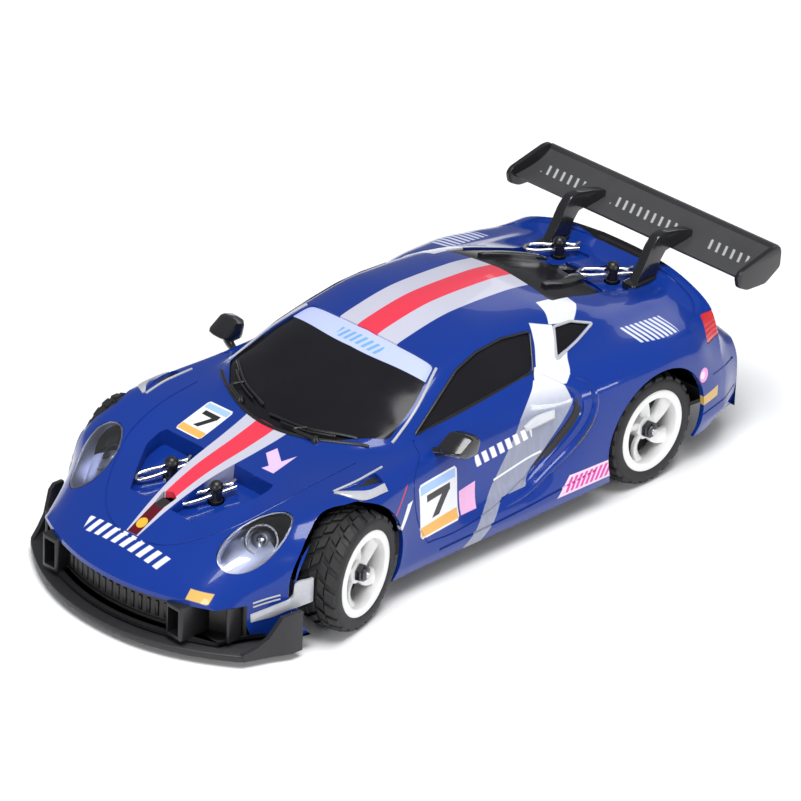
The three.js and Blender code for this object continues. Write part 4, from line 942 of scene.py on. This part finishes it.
def hood_well(grow=0.0):
    """Recess round a front post: steep behind, running out towards the nose."""
    rise = [(51.6 - grow, 34), (52.4 - grow, 24.7 - grow), (67.2, 21.9 - grow), (69.2 + grow, 22.2 - grow),
            (71.4 + grow, 34)]
    plan = [(50.2 - grow, 4.8 - grow), (60, 3.8 - grow), (72 + grow, 3.1 - grow), (72.4 + grow, 7.4 + grow),
            (65.5, 12.2 + grow), (58, 16.6 + grow), (53.2, 17.2 + grow), (50.2 - grow, 15.4 + grow)]
    return boolean(side_prism(rise, 1, 20), [plan_prism(rounded(plan, 1.2), 10, 40)], "INTERSECT")


def deck_well(grow=0.0):
    plan = [(-53.6 + grow, 2.6 - grow), (-53.6 + grow, 14.4 + grow), (-60.8, 15.2 + grow),
            (-67.6 - grow, 9.6 + grow), (-67.6 - grow, 2.6 - grow)]
    return plan_prism(rounded(plan, 1.0), 35.1 - grow, 48)


def arch_cutters():
    """Round arches; inside the lip the front ones are longer both ways for the steered tyres."""
    places = [(FRONT_AXLE_X, ARCH_OUTER_Y), (FRONT_AXLE_X - ARCH_RELIEF, ARCH_LIP_Y),
              (FRONT_AXLE_X + ARCH_RELIEF, ARCH_LIP_Y), (REAR_AXLE_X, ARCH_OUTER_Y)]
    return [drum(ARCH_RADIUS, ARCH_INNER_Y, outer, x, side) for x, outer in places for _, side in SIDES]


def drum(radius, inner_y, outer_y, x, side):
    """Cylinder across the car at axle height."""
    verts, faces = turned_solid([(0.01, inner_y), (radius, inner_y), (radius, outer_y), (0.01, outer_y)], 96)
    return verts * (1, side, 1) + (x, 0, AXLE_Z), faces


def post_hole(post):
    x, y, top = post
    return both_sides(rod(1.9, (x, y, top - 12), (x, y, top + 2)))


HOOD_LINE = [(35.5, 24.6), (45, 24.2), (56, 22.6), (64, 19.4), (71, 15.0), (76, 9.4), (78.0, 4.0), (78.4, 0)]
DOOR_FRONT = [(20.4, 32.2), (23.6, 30.2), (26.8, 27.6), (27.6, 23), (26.4, 17), (23.6, 11.6)]
DOOR_LOW = [(23.6, 11.6), (14, 11.0), (2, 12.4), (-9, 15.4)]
DOOR_REAR = [(-17.0, 35.6), (-19.0, 34.6), (-21.6, 32.8)]
SCOOP = [(-21.4, 33.0), (-23.2, 30.8), (-23.2, 27.4), (-20.9, 24.2), (-15.4, 19.2), (-10.2, 15.6),
         (-5.6, 13.0)]
SCOOP_LIP = [(-24.2, 34.4), (-27.4, 31.6), (-27.6, 27.0), (-24.6, 22.2), (-18.4, 17.0), (-9.8, 12.6),
             (-1, 11.2)]
SILL_CREASE = [(20, 8.6), (6, 8.8), (-10, 9.4), (-28, 11.0)]
BUMPER_STEP = [(-66.5, 21.4), (-72, 20.8), (-78, 20.2)]
TAIL_CREASE = [(-62.6, 12.4), (-70, 13.0), (-79, 12.8)]


def side_grooves():
    cuts = []
    for line, radius in ((DOOR_FRONT, 0.22), (DOOR_LOW, 0.2), (DOOR_REAR, 0.26), (SILL_CREASE, 0.3),
                         (BUMPER_STEP, 0.3), (TAIL_CREASE, 0.26)):
        for _, side in SIDES:
            cuts.append(groove(line, flank(side), radius))
    return cuts


def top_grooves():
    whole = HOOD_LINE + [(x, -y) for x, y in HOOD_LINE[-2::-1]]
    cuts = [groove(whole, on_top, 0.22)]
    for _, side in SIDES:
        cuts.append(groove([(-66.4, 30.4 * side), (-70.2, 26 * side), (-72, 18 * side), (-72.6, 10 * side)],
                           on_top, 0.3))
    cuts.append(groove([(-72.7, -10), (-73, 0), (-72.7, 10)], on_top, 0.3))
    return cuts


def scoop_cut(side):
    return swelling(traced(SCOOP, flank(side), 0.5, 6), 0.3, 1.4, 0.8, 14)


def scoop_lip(side):
    return swelling(traced(SCOOP_LIP, flank(side), -0.15, 6), 0.2, 0.75, 0.6, 12)


def fender_vent(side):
    path = traced([(45.6, 30.0), (40.6, 31.2), (35.4, 31.9)], crown(side), 0.1)
    return tube(path, 0.3 + 1.3 * np.linspace(0, 1, len(path)) ** 0.8, 14)


def shell_mesh():
    inner = loft_solid(SHELL_WALL, -2)
    tubs = [*both_sides(hood_well(0.9)), *both_sides(deck_well(0.9))]
    inner = boolean(inner, tubs)
    windows = [*both_sides(side_prism(SIDE_WINDOW, 14, 42)), *both_sides(side_prism(QUARTER_WINDOW, 14, 42)),
               plan_prism(WINDSCREEN, 30, SHELL_TOP), plan_prism(REAR_WINDOW, 34.5, SHELL_TOP)]
    lamps = [lamp_prism(side, 0) for _, side in SIDES] + both_sides(side_prism(TAIL_LIGHT, 25, 42))
    nose = plan_prism(rounded([(66, -29.8), (94, -29.8), (94, 29.8), (66, 29.8)], 0.5), 4.4, 12.2)
    rear = plan_prism([(-92, -22), (-80, -22), (-80, 22), (-92, 22)], 9, 14)
    # The lower edge is cut level, higher behind the rear wheels.
    skirts = [box(-61, 59, -45, 45, -3, 5.6), box(-92, -60, -45, 45, -3, 6.8)]
    vent = plan_prism(rounded([(69.6, -1.5), (66.6, -2.1), (65.6, 0), (66.6, 2.1), (69.6, 1.5), (70.6, 0)],
                              0.4), 23, 30)
    body = boolean(OUTER, [scoop_lip(side) for _, side in SIDES], "UNION")
    body = boolean(body, [inner, nose, rear, *arch_cutters()])
    body = boolean(body, [*both_sides(hood_well()), *both_sides(deck_well()), *post_hole(FRONT_POST),
                          *post_hole(REAR_POST)])
    body = boolean(body, [*windows, *lamps, *skirts, vent])
    return boolean(body, [*[scoop_cut(side) for _, side in SIDES], *[fender_vent(side) for _, side in SIDES],
                          *side_grooves(), *top_grooves()])


def make_shell():
    """Painted shell whose inner faces take the dark chassis plastic as painted shade, for the inside that is
    seen only in shadow.
    """
    shell = make("shell", shell_mesh(), PAINT, sharp=28, replaces=["body_shell"])
    # The second slot is painted shade: the inside of the shell takes the dark chassis plastic where it lies
    # in shadow.
    shell.data.materials.append(NYLON)
    for face in shell.data.polygons:
        centre = face.center / MM
        _, _, _, distance = SURFACE.find_nearest(centre)
        if distance > 0.75 and centre.z < 36 and not in_well(centre):
            face.material_index = 1


def in_well(point):
    x, y = point.x, abs(point.y)
    return point.z > 20.5 and (50 < x < 73 and 3 < y < 17.5 or -69 < x < -52 and 2 < y < 16)


def make_windows():
    cabin = box(-60, 38.6, -27.5, 27.5, 31.2, SHELL_TOP)
    liner = boolean(loft_solid(0.34, 28), [loft_solid(1.5, 26)])
    liner = boolean(liner, [cabin], "INTERSECT")
    liner = boolean(liner, [*both_sides(deck_well(1.0))])
    make("window_moulding", liner, WINDOW, sharp=30, replaces=["window_insert"])
    wipers = []
    for blade_line, pivot_at in (([(26.4, -21.4), (31.6, -13.6), (34.6, -4.6)], (36.0, -10.6)),
                                 ([(35.8, -1.4), (34.6, 9.2), (30.2, 20.0)], (36.2, 13.0))):
        wipers.append(tube(traced(blade_line, on_top, 0.12), 0.36, 8))
        spine = [on_top(x + 0.9, y + 0.2, lift=0.5) for x, y in smooth_path(blade_line, 8)[3:-3]]
        wipers.append(tube(spine, 0.24, 8))
        middle = blade_line[1]
        arm = traced([pivot_at, (middle[0] + 2.0, middle[1] - 2), middle], on_top, 0.55)
        wipers.append(tube(arm, np.linspace(0.55, 0.3, len(arm)), 8))
        base = on_top(*pivot_at, lift=-0.3)
        wipers.append(tube([base, base + (0, 0, 0.6), base + (0, 0, 1.3)], [1.0, 1.0, 0.6], 14))
    cowl = [on_top(38.4 - (abs(y) / 24.0) ** 2 * 9.4, y, lift=0.05) for y in np.linspace(-23, 23, 40)]
    wipers.append(tube(cowl, 0.42, 8))
    make("wipers", wipers, SATIN)
    ribs = both_sides(patch([(-38.0, 9.2), (-46, 7.6), (-55, 4.6)], [(-38.0, 10.6), (-46, 10.4), (-55, 7.6)],
                            on_top, 0.55))
    make("rear_window_ribs", ribs, GLOSS_BLACK)


def make_trim():
    """Seals, quarter-window frames, pillar lines (a silver edge that also stands as a painted highlight),
    handles, bumper fins and fender vent lips.
    """
    for name, side in SIDES:
        on_flank, on_crown = flank(side), crown(side)
        for part, outline, radius, look, slot in (
                ("window_seal", SIDE_WINDOW, 0.26, SATIN, "satin_black"),
                ("quarter_frame", QUARTER_WINDOW, 0.34, SILVER_TRIM, "blue_paint")):
            edge = [on_flank(x, z, lift=0.02) for x, z in (*outline, outline[0])]
            make(f"{part}_{name}", tube(edge, radius, 8), look)
        # Pale line along the A-pillar beside the windscreen: partly its silver edge, partly a painted
        # highlight.
        pillar = traced([(6.6, 20.0), (15.4, 23.4), (25.2, 25.4)], on_crown, 0.05)
        make(f"pillar_silver_and_highlight_{name}", tube(pillar, 0.34, 8), SILVER_TRIM)
        handle = patch([(-8.6, 27.2), (-12.6, 28.4), (-17.2, 28.8)],
                       [(-9.2, 26.0), (-12.8, 26.2), (-17.0, 27.0)], on_flank, 0.9)
        make(f"door_handle_{name}", handle, HANDLE)
        blade = patch([(59.7, 17.5), (62.9, 16.7), (63.8, 13.2), (67.2, 11.4), (71.3, 10.0)],
                      [(59.7, 11.8), (61.6, 11.5), (64, 10.4), (67, 8.9), (71.2, 8.1)], on_flank, 0.55)
        louvres = [tube(traced([(65.6, 13.9 - drop), (70.8, 12.6 - drop)], on_flank, 0.08, 6), 0.2, 6)
                   for drop in (0, 0.9)]
        make(f"bumper_fin_{name}", [blade, *louvres], SILVER_TRIM)
        lip = patch([(46.4, 29.6), (43.6, 32.1), (40.2, 33.5), (35.6, 33.5)],
                    [(47.1, 29.9), (45.4, 33.1), (42.4, 34.9), (35.8, 34.8)], on_crown, 0.4)
        brow = traced([(46.6, 29.2), (40.8, 29.9), (36.2, 29.8), (32.4, 29.6)], on_crown, 0.05, 6)
        make(f"vent_lip_{name}", [lip, tube(brow, 0.28, 8)], SILVER_TRIM)


def make_lamps():
    wheel_space = [drum(15.5, 19, ARCH_OUTER_Y, FRONT_AXLE_X + ARCH_RELIEF, side) for _, side in SIDES]
    for name, side in SIDES:
        ring = boolean(lamp_prism(side, 0.12), [lamp_prism(side, 0.6, -9, 9)])
        ring = boolean(boolean(ring, [loft_solid(0.25, 2)], "INTERSECT"), [loft_solid(4.2, 0), *wheel_space])
        make(f"lamp_bezel_{name}", ring, LAMP_GREY)
        bowl = boolean(lamp_prism(side, 0.6), [loft_solid(2.6, 2)], "INTERSECT")
        bowl = boolean(bowl, [loft_solid(4.0, 0), *wheel_space])
        base = lamp_point(side, 1.5, 0.2, -4.6)
        spin = Vector((0, 1, 0)).rotation_difference(lamp_axes(side)[2]).to_matrix().to_4x4()
        spin.translation = Vector(base)
        projector = [turned(lathe(profile, 40), spin) for profile in (
            [(2.9, 0), (3.7, 0.2), (3.9, 2.4), (3.6, 3.2), (3.2, 3.2), (3.0, 2.4)],
            [(0.5, 3.3), (1.0, 3.5), (1.1, 3.9), (0.6, 4.1)])]
        bulb = turned(turned_solid([(0.01, 0.6), (2.8, 0.8), (2.7, 2.0), (2.0, 3.1), (1.0, 3.6), (0.01, 3.7)],
                                   32), spin)
        make(f"lamp_bowl_{name}", [bowl], LAMP_GREY, replaces=[f"headlight_bucket_{name}"])
        make(f"lamp_projector_{name}", projector, DARK_STEEL)
        make(f"lamp_bulb_{name}", [bulb], REFLECTOR)
        cover = boolean(boolean(lamp_prism(side, 0.15), [loft_solid(0.02, 2)], "INTERSECT"),
                        [loft_solid(0.7, 0)])
        make(f"lamp_cover_{name}", cover, LENS, replaces=[f"headlight_lens_{name}"])
        tail = boolean(loft_solid(0.05, 2), [loft_solid(1.3, 0)])
        outline = side_prism(grown(TAIL_LIGHT, -0.2), 25, 42)
        tail = boolean(tail, [outline if side > 0 else mirrored(outline)], "INTERSECT")
        make(f"tail_lamp_{name}", tail, TAIL_LENS, replaces=[f"tail_light_{name}"])


def make_mirrors():
    for name, side in SIDES:
        outline = rounded([(19.8, 32.4), (16.6, 30.3), (12.4, 30.4), (11.4, 34.4), (14.8, 35.6)], 0.9)
        loops = []
        for y, scale, shift in ((32.9, 0.5, 1.2), (33.3, 0.8, 0.7), (34.4, 0.96, 0.2), (36.4, 1.0, 0),
                                (38.2, 0.96, -0.2), (39.0, 0.8, -0.3), (39.3, 0.5, -0.3)):
            centre = outline.mean(axis=0)
            ring = centre + (outline - centre) * scale
            loops.append([(x + shift, y, z) for x, z in ring])
        stalk = smooth_path([(16.4, 35.4, 31.4), (17.4, 33, 30.6), (18.2, 30.4, 30.2)], 4)
        stalk = tube(stalk, np.linspace(1.2, 0.8, len(stalk)), 12)
        parts = [strip_solid(loops), stalk]
        parts = parts if side > 0 else [mirrored(p) for p in parts]
        make(f"mirror_pod_{name}", parts, GLOSS_BLACK, replaces=[f"mirror_{name}"])


def make_front():
    half = [(88.8 - 12 * (y / 33.2) ** 2.2, y) for y in np.linspace(0.5, 33.2, 12)]
    outline = rounded(mirrored_plan(half + [(70, 35.8), (66, 37.8), (63.4, 38), (63.4, 28), (61, 20),
                                            (61, 3)]), 0.5, 2)
    plate = bevelled_prism(outline, 1.6, 3.2, "z", 0.35)
    fence = [(63.4, 37.6, 11.2), (66.2, 37.4, 11.4), (68.2, 36.5, 10.9), (69.4, 35.9, 8.8), (70.8, 35.2, 6.4),
             (73.5, 34.2, 4.5), (76.4, 33.0, 3.3)]
    wall = [[(x, y + out, z) for out, z in ((-0.5, 1.7), (0.5, 1.7), (0.5, top), (-0.5, top))]
            for x, y, top in fence]
    ends = both_sides(strip_solid(wall))
    make("splitter", [plate, *ends], CHARCOAL, replaces=["front_splitter"])
    parts = [curved_wall(5.6, 29.2, 4.2, 12.4, 0.9)]
    for level in (4.9, 10.8):
        parts.append(curved_wall(2.2, 17.0, level, level + 0.7, 1.2))
    parts.append(curved_wall(2.5, 17.0, 5.0, 11.2, 1.0))
    for i in range(-7, 8):
        y = i * 2.1
        x = float(bowed_x(NOSE_X, y)) - 2.45
        parts.append(soft_box(x - 0.6, x + 0.28, y - 0.5, y + 0.5, 6.2, 9.9, 0.15))
    for _, side in SIDES:
        y = side * 19.4
        outer = soft_box(74.5, 83.6, y - 2.5, y + 2.5, 4.2, 12.3, 0.35)
        parts.append(boolean(outer, [soft_box(78, 88, y - 1.6, y + 1.6, 5.2, 11.4, 0.3)]))
        parts.append(soft_box(72.5, 76.5, side * 28.4 - 0.5, side * 28.4 + 0.5, 4.2, 12.2, 0.2))
    make("grille", parts, SATIN, replaces=["front_grille"])


def curved_wall(depth, half_width, z0, z1, thickness):
    y = np.linspace(-half_width, half_width, 41)
    x = bowed_x(NOSE_X, y) - depth
    outline = list(zip(x, y)) + list(zip(x[::-1] - thickness, y[::-1]))
    return plan_prism(outline, z0, z1)


def make_rear_vent():
    """Dark slatted panel behind the opening in the rear bumper."""
    slats = [soft_box(-85.4, -84.2, -23, 23, z, z + 0.5, 0.1) for z in (9.2, 10.6, 12.0, 13.3)]
    slats += [soft_box(-85.0, -84.6, y - 0.3, y + 0.3, 8.7, 14.3, 0.08) for y in range(-22, 23, 4)]
    slats.append(box(-83.9, -83.3, -23.5, 23.5, 8.4, 14.6))
    make("rear_vent_panel", slats, SATIN)


# ---- Wing ----
def blade_section(samples=22):
    (rear_x, rear_z), (front_x, front_z) = WING_CHORD
    front_x, front_z = front_x - 1.0, front_z + 0.7
    upper, lower = [], []
    for t in np.linspace(0, 1, samples):
        x = front_x + (rear_x - front_x) * t
        z = front_z + (rear_z - front_z) * t - 1.3 * 4 * t * (1 - t)
        thick = 0.5 + 0.9 * math.sin(math.pi * t ** 0.6) ** 2
        upper.append((x, z + thick / 2))
        lower.append((x, z - thick / 2))
    flap = [(rear_x - 0.35, rear_z + 0.2), (rear_x - 0.3, rear_z + 0.9), (rear_x + 0.3, rear_z + 0.9)]
    return upper[:-1] + [(rear_x + 0.5, rear_z + 0.3)] + flap[::-1] + lower[::-1]


def make_wing():
    section = blade_section()
    loops = [[(x, y, z) for x, z in section] for y in np.linspace(-WING_SPAN + 0.4, WING_SPAN - 0.4, 9)]
    make("wing_blade", strip_solid(loops), WING, sharp=40, replaces=["rear_wing"])
    outline = rounded([(-73.8, 42.8), (-74.4, 40.2), (-77.5, 38.6), (-83.8, 38.2), (-88.6, 41.0),
                       (-88.75, 44.8), (-88.2, 46.3), (-86, 46.5), (-75, 44.0)], 0.8)
    for name, side in SIDES:
        mid = side * (WING_SPAN - 0.05)
        make(f"wing_end_{name}", bevelled_prism(outline, mid - 0.6, mid + 0.6, "y", 0.25), SATIN)
        stay_outline = rounded([(-62.9, 35.0), (-70.0, 35.0), (-71.4, 39.5), (-73.4, 42.0), (-75.6, 42.2),
                                (-79, 41.9),
                                (-82.4, 42.4), (-82.8, 44.2), (-77.4, 45.8), (-73.4, 46.65), (-70.8, 46.3),
                                (-68.6, 44.0), (-66.0, 39.6)], 0.8)
        mid = side * 13.5
        stay = bevelled_prism(stay_outline, mid - 1.25, mid + 1.25, "y", 0.35)
        foot = soft_box(-70.6, -62.2, mid - 1.9, mid + 1.9, 34.6, 36.7, 0.4)
        make(f"wing_support_{name}", [stay, foot], GLOSS_BLACK, replaces=[f"wing_stay_{name}"])


# ---- Posts and clips ----
def make_posts():
    for end, (x, y, top), low in (("front", FRONT_POST, 9.5), ("rear", REAR_POST, 9.5)):
        parts = [soft_box(x - 1.6, x + 1.6, -y - 2, y + 2, low, low + 5)]
        for _, side in SIDES:
            stand = Matrix.Translation((x, side * y, 0)) @ Matrix.Rotation(math.radians(90), 4, "X")
            profile = [(0.01, low), (POST_RADIUS, low), (POST_RADIUS, top - 3.6), (1.5, top - 3.5),
                       (1.5, top - 3.1), (POST_RADIUS, top - 3.0), (POST_RADIUS, top - 1.1)]
            profile += [(POST_BALL * math.cos(a), top + POST_BALL * math.sin(a))
                        for a in np.linspace(-0.68, 1.5, 12)]
            profile.append((0.01, top + POST_BALL))
            parts.append(turned(turned_solid(profile, 28), stand))
        make(f"body_post_{end}", parts, SATIN, replaces=[f"{end}_body_post"])


def clip_matrix(post, yaw, pitch, side):
    along = Vector((math.cos(yaw) * math.cos(pitch), math.sin(yaw) * math.cos(pitch), math.sin(pitch)))
    across = Vector((-math.sin(yaw), math.cos(yaw), 0))
    up = along.cross(across)
    place = Matrix((along, across, up)).transposed().to_4x4()
    place.translation = Vector((post[0], side * post[1], post[2] - CLIP_DROP + 0.5))
    return place


def make_clips():
    length = CLIP_LENGTH
    points = [(length * 0.36, 0, 0), (0, 0, 0), (-length * 0.34, 0, 0), (-length * 0.52, 0.5, 0),
              (-length * 0.6, 1.5, 0.1), (-length * 0.5, 2.6, 0.3), (-length * 0.3, 2.4, 0.4),
              (-1.6, 1.9, 0.4),
              (0, 2.15, 0.4), (1.6, 1.9, 0.4), (length * 0.3, 1.2, 0.4), (length * 0.4, 2, 0.4)]
    wire = tube(smooth_path(points, 9), CLIP_WIRE * 1.2, 12)
    for end, (post, yaw, pitch) in CLIPS.items():
        for name, side in SIDES:
            make(f"clip_{end}_{name}", turned(wire, clip_matrix(post, yaw, pitch, side)), CHROME,
                 replaces=[f"body_clip_{end}_{name}"])


# ---- Wheels ----
def arc_points(centre, radius, start, stop, steps):
    return [(centre[0] + radius * math.cos(a), centre[1] + radius * math.sin(a))
            for a in np.radians(np.linspace(start, stop, steps))]


def rim_parts():
    r = RIM_RADIUS
    barrel = lathe([(r - 0.95, -4.0), (r - 0.2, -4.05), (r + 0.25, -3.95), (r + 0.25, -3.7), (r - 0.3, -3.4),
                    (r - 0.4, 3.5), (r + 0.25, 3.9), (r + 0.3, 4.35),
                    *arc_points((r - 0.15, 4.4), 0.4, 0, 90, 4),
                    (r - 1.0, 4.85), *arc_points((r - 1.3, 4.45), 0.4, 100, 180, 4), (r - 2.0, 2.2),
                    (r - 1.7, 0.4), (r - 1.0, -1.4)], 80)
    hub = lathe([(1.1, -1.5), (2.9, -1.5), (2.9, 1.6), (2.75, 2.6), (2.4, 2.95), (1.1, 2.95)], 40)
    # Dark disc behind the spokes: painted shade for the shadowed inside of the rim between them.
    back = lathe([(2.6, -0.6), (r - 1.3, -0.8), (r - 1.3, -1.4), (2.6, -1.2)], 60)
    spokes = [spoke(angle) for angle in turns_of(SPOKES)]
    return [barrel, hub, *spokes], back


def spoke(start):
    """A flat blade that widens, swings round and climbs from the hub to the barrel."""
    loops = []
    for t in np.linspace(0, 1, 12):
        radius = 2.3 + 5.7 * t
        angle = start + 0.42 * t * t
        half = (1.15 + 0.75 * t ** 2) / radius
        face = 2.35 - 0.45 * math.sin(math.pi * t) + 0.55 * t
        ring = []
        for u, v in ((-1, -0.62), (-1.0, 0.2), (-0.86, 0.5), (-0.5, 0.62), (0.5, 0.62), (0.86, 0.5),
                     (1.0, 0.2), (1, -0.62)):
            a = angle + half * u
            ring.append((radius * math.sin(a), face + v - SPOKE_TILT * u - 0.4, radius * math.cos(a)))
        loops.append(ring)
    return strip_solid(loops)


def tyre_parts():
    inner, outer = RIM_RADIUS + 0.1, TYRE_RADIUS - 0.75
    profile = [(inner - 0.2, -4.0), (inner, -4.55), (inner + 0.7, -4.78), (inner + 1.6, -4.85),
               (inner + 2.3, -4.7),
               (outer - 0.3, -4.35), (outer, -3.7), (outer + 0.05, 0), (outer, 3.7), (outer - 0.3, 4.35),
               (inner + 2.3, 4.7), (inner + 1.6, 4.85), (inner + 0.7, 4.78), (inner, 4.55),
               (inner - 0.2, 4.0)]
    parts = [lathe(profile, 72)]
    for i in range(TREAD_BLOCKS):
        for row, half, shift in ((-3.35, 1.15, 0.0), (-1.15, 0.85, 0.5), (1.15, 0.85, 0.0),
                                 (3.35, 1.15, 0.5)):
            angle = (i + shift) * 2 * math.pi / TREAD_BLOCKS
            skew = 0.28 if row > 0 else -0.28
            parts.append(tread_block(angle, row, half, skew, shoulder=abs(row) > 2))
    return parts


def tread_block(angle, row, half, skew, shoulder):
    """One block of the tread, leaning with the herringbone; shoulder blocks wrap over the edge."""
    loops = []
    for height, inset in ((-0.5, 0), (0.62, 0.02), (0.76, 0.16)):
        ring = []
        for u, v in ((-1, -1), (1, -1), (1, 1), (-1, 1)):
            a = angle + (BLOCK_HALF * u * (1 - inset) + skew * v * 2) / TYRE_RADIUS
            y = row + half * v * (1 - inset)
            drop = 0.45 * max(abs(y) - 3.2, 0) if shoulder else 0
            radius = TYRE_RADIUS - 0.78 + height - drop
            ring.append((radius * math.sin(a), y, radius * math.cos(a)))
        loops.append(ring)
    return strip_solid(loops)


def nut_parts():
    hexagon = [(2.1 * math.sin(a), 2.1 * math.cos(a)) for a in np.radians(np.arange(0, 360, 60))]
    loops = []
    for y, scale in ((2.95, 0.94), (3.1, 1.0), (4.1, 1.0), (4.35, 0.88)):
        loops.append([(x * scale, y, z * scale) for x, z in hexagon])
    collar = turned_solid([(0.01, 4.2), (1.5, 4.2), (1.5, 4.75), (1.2, 4.95), (0.01, 4.95)], 28)
    stub = turned_solid([(0.01, 4.8), (0.85, 4.8), (0.85, 5.35), (0.65, 5.5), (0.01, 5.5)], 24)
    return [strip_solid(loops), collar], stub


def wheel_places():
    for name, side in SIDES:
        reach = side * (FRONT_WHEEL_Y - KINGPIN_Y)
        centre = Vector((FRONT_AXLE_X - reach * math.sin(STEER_AT_REST),
                         side * KINGPIN_Y + reach * math.cos(STEER_AT_REST), AXLE_Z))
        turn = STEER_AT_REST + (0 if side > 0 else math.pi)
        yield "front", name, Matrix.Translation(centre) @ Matrix.Rotation(turn, 4, "Z")
        rear = Matrix.Translation((REAR_AXLE_X, side * REAR_WHEEL_Y, AXLE_Z))
        yield "rear", name, rear @ Matrix.Rotation(0 if side > 0 else math.pi, 4, "Z")


def make_wheels():
    rim, back = rim_parts()
    tyre, (nut, stub) = tyre_parts(), nut_parts()
    for end, name, place in wheel_places():
        wheel = f"wheel_front_{name}" if end == "front" else "rear_axle"
        holder = f"knuckle_{name}" if end == "front" else "rear_axle"
        put = lambda parts, at=place: [turned(p, at) for p in parts]
        make(f"wheel_{end}_{name}", put(rim), WHITE_RIM, wheel, replaces=[f"rim_{end}_{name}"])
        # The dark disc behind the spokes is painted shade.
        make(f"wheel_shade_disc_{end}_{name}", put([back]), NYLON, wheel)
        make(f"tread_{end}_{name}", put(tyre), TYRE, wheel, replaces=[f"tyre_{end}_{name}"])
        make(f"hex_nut_{end}_{name}", put(nut), DARK_STEEL, holder, replaces=[f"wheel_nut_{end}_{name}"])
        make(f"stub_end_{end}_{name}", put([stub]), SHAFT_STEEL, holder)


# ---- Springs ----
def make_springs():
    """Coils between the spring seat and the upper arm, made at one fixed length and left unattached."""
    turns = np.linspace(0, SPRING_COILS * 2 * math.pi, 84)
    rise = np.linspace(SPRING_LOW, SPRING_HIGH, len(turns))
    for name, side in SIDES:
        centre = (FRONT_AXLE_X, side * KINGPIN_Y)
        path = [(centre[0] + SPRING_RADIUS * math.cos(a), centre[1] + SPRING_RADIUS * math.sin(a), z)
                for a, z in zip(turns, rise)]
        coil = make(f"coil_spring_{name}", tube(path, SPRING_WIRE, 8), SHAFT_STEEL, None,
                    replaces=[f"front_spring_{name}"])
        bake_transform(coil)


# ---- Carried-over CAD nodes ----
def dress_frame():
    looks = {
        "rear_diffuser": CHARCOAL, "servo_case": SATIN, "battery_strap": SATIN, "switch_housing": SATIN,
        "motor_can": SHAFT_STEEL, "rear_axle": SHAFT_STEEL, "motor_pinion": BRASS, "spur_gear": WHITE_RIM,
        "servo_horn": WHITE_RIM, "battery_pack": BATTERY, "circuit_board": BOARD, "power_switch": SWITCH_GREY,
    }
    steel = ("front_kingpin", "front_spring")
    for name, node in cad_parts.items():
        look = looks.get(name, SHAFT_STEEL if name.startswith(steel) else NYLON)
        node.data.materials.clear()
        node.data.materials.append(look)


# ---- Stage, light and camera ----
FLOOR_HALF = 6000


def make_floor():
    n = Nodes("studio_floor")
    n.set(Base_Color=n.mix(n.noise(0.002), (0.90, 0.90, 0.91), (0.93, 0.93, 0.93)), Roughness=0.7)
    corners = [(x * FLOOR_HALF, y * FLOOR_HALF, 0) for x, y in ((-1, -1), (1, -1), (1, 1), (-1, 1))]
    data = raw_mesh("floor", corners, [[0, 1, 2, 3]])
    data.materials.append(n.material)
    floor = bpy.data.objects.new("floor", data)
    bpy.context.scene.collection.objects.link(floor)


def area_light(name, at, target, size, energy, colour=(1, 1, 1)):
    data = bpy.data.lights.new(name, "AREA")
    data.shape = "RECTANGLE"
    data.size, data.size_y = (s * MM for s in size)
    data.energy = energy
    data.color = colour
    light = bpy.data.objects.new(name, data)
    bpy.context.scene.collection.objects.link(light)
    light.location = Vector(at) * MM
    direction = (Vector(target) - Vector(at)).normalized()
    light.rotation_euler = direction.to_track_quat("-Z", "Y").to_euler()


SKY_COLOUR, SKY_STRENGTH = (0.93, 0.95, 1.0, 1), 0.26


def make_light():
    world = bpy.context.scene.world or bpy.data.worlds.new("studio")
    bpy.context.scene.world = world
    world.use_nodes = True
    sky = world.node_tree.nodes["Background"].inputs
    sky["Color"].default_value, sky["Strength"].default_value = SKY_COLOUR, SKY_STRENGTH
    area_light("key", (250, 250, 1450), (0, 0, 20), (900, 900), 25)
    area_light("front", (900, 250, 330), (20, 0, 15), (400, 120), 2.4)
    area_light("side", (-160, 1000, 260), (-10, 0, 15), (700, 110), 3.0)
    area_light("rear", (-900, -300, 520), (-20, 0, 30), (600, 260), 0.5)


CAMERA_AZIMUTH, CAMERA_ELEVATION = math.radians(43.581), math.radians(28.425)
CAMERA_ROLL = math.radians(2.377)
CAMERA_TARGET = Vector((-6.58, -2.83, 20.0))
CAMERA_DISTANCE = 1202.05
CAMERA_SENSOR = 36
CAMERA_FOCAL = 6.72347 * CAMERA_SENSOR
CAMERA_RANGE = (0.05, 40)


def make_camera():
    az, el = CAMERA_AZIMUTH, CAMERA_ELEVATION
    back = Vector((math.cos(az) * math.cos(el), math.sin(az) * math.cos(el), math.sin(el)))
    right = (-back).cross(Vector((0, 0, 1))).normalized()
    up = right.cross(-back)
    right, up = (right * math.cos(CAMERA_ROLL) + up * math.sin(CAMERA_ROLL),
                 up * math.cos(CAMERA_ROLL) - right * math.sin(CAMERA_ROLL))
    data = bpy.data.cameras.new("camera")
    data.sensor_width = CAMERA_SENSOR
    data.lens = CAMERA_FOCAL
    data.clip_start, data.clip_end = CAMERA_RANGE
    camera = bpy.data.objects.new("camera", data)
    bpy.context.scene.collection.objects.link(camera)
    place = Matrix((right, up, back)).transposed().to_4x4()
    place.translation = (CAMERA_TARGET + back * CAMERA_DISTANCE) * MM
    camera.matrix_world = place
    bpy.context.scene.camera = camera


bpy.context.scene.view_settings.view_transform = "Standard"
make_camera()
make_light()
make_floor()
dress_frame()
make_shell()
make_windows()
make_trim()
make_lamps()
make_mirrors()
make_front()
make_rear_vent()
make_wing()
make_posts()
make_clips()
make_wheels()
make_springs()
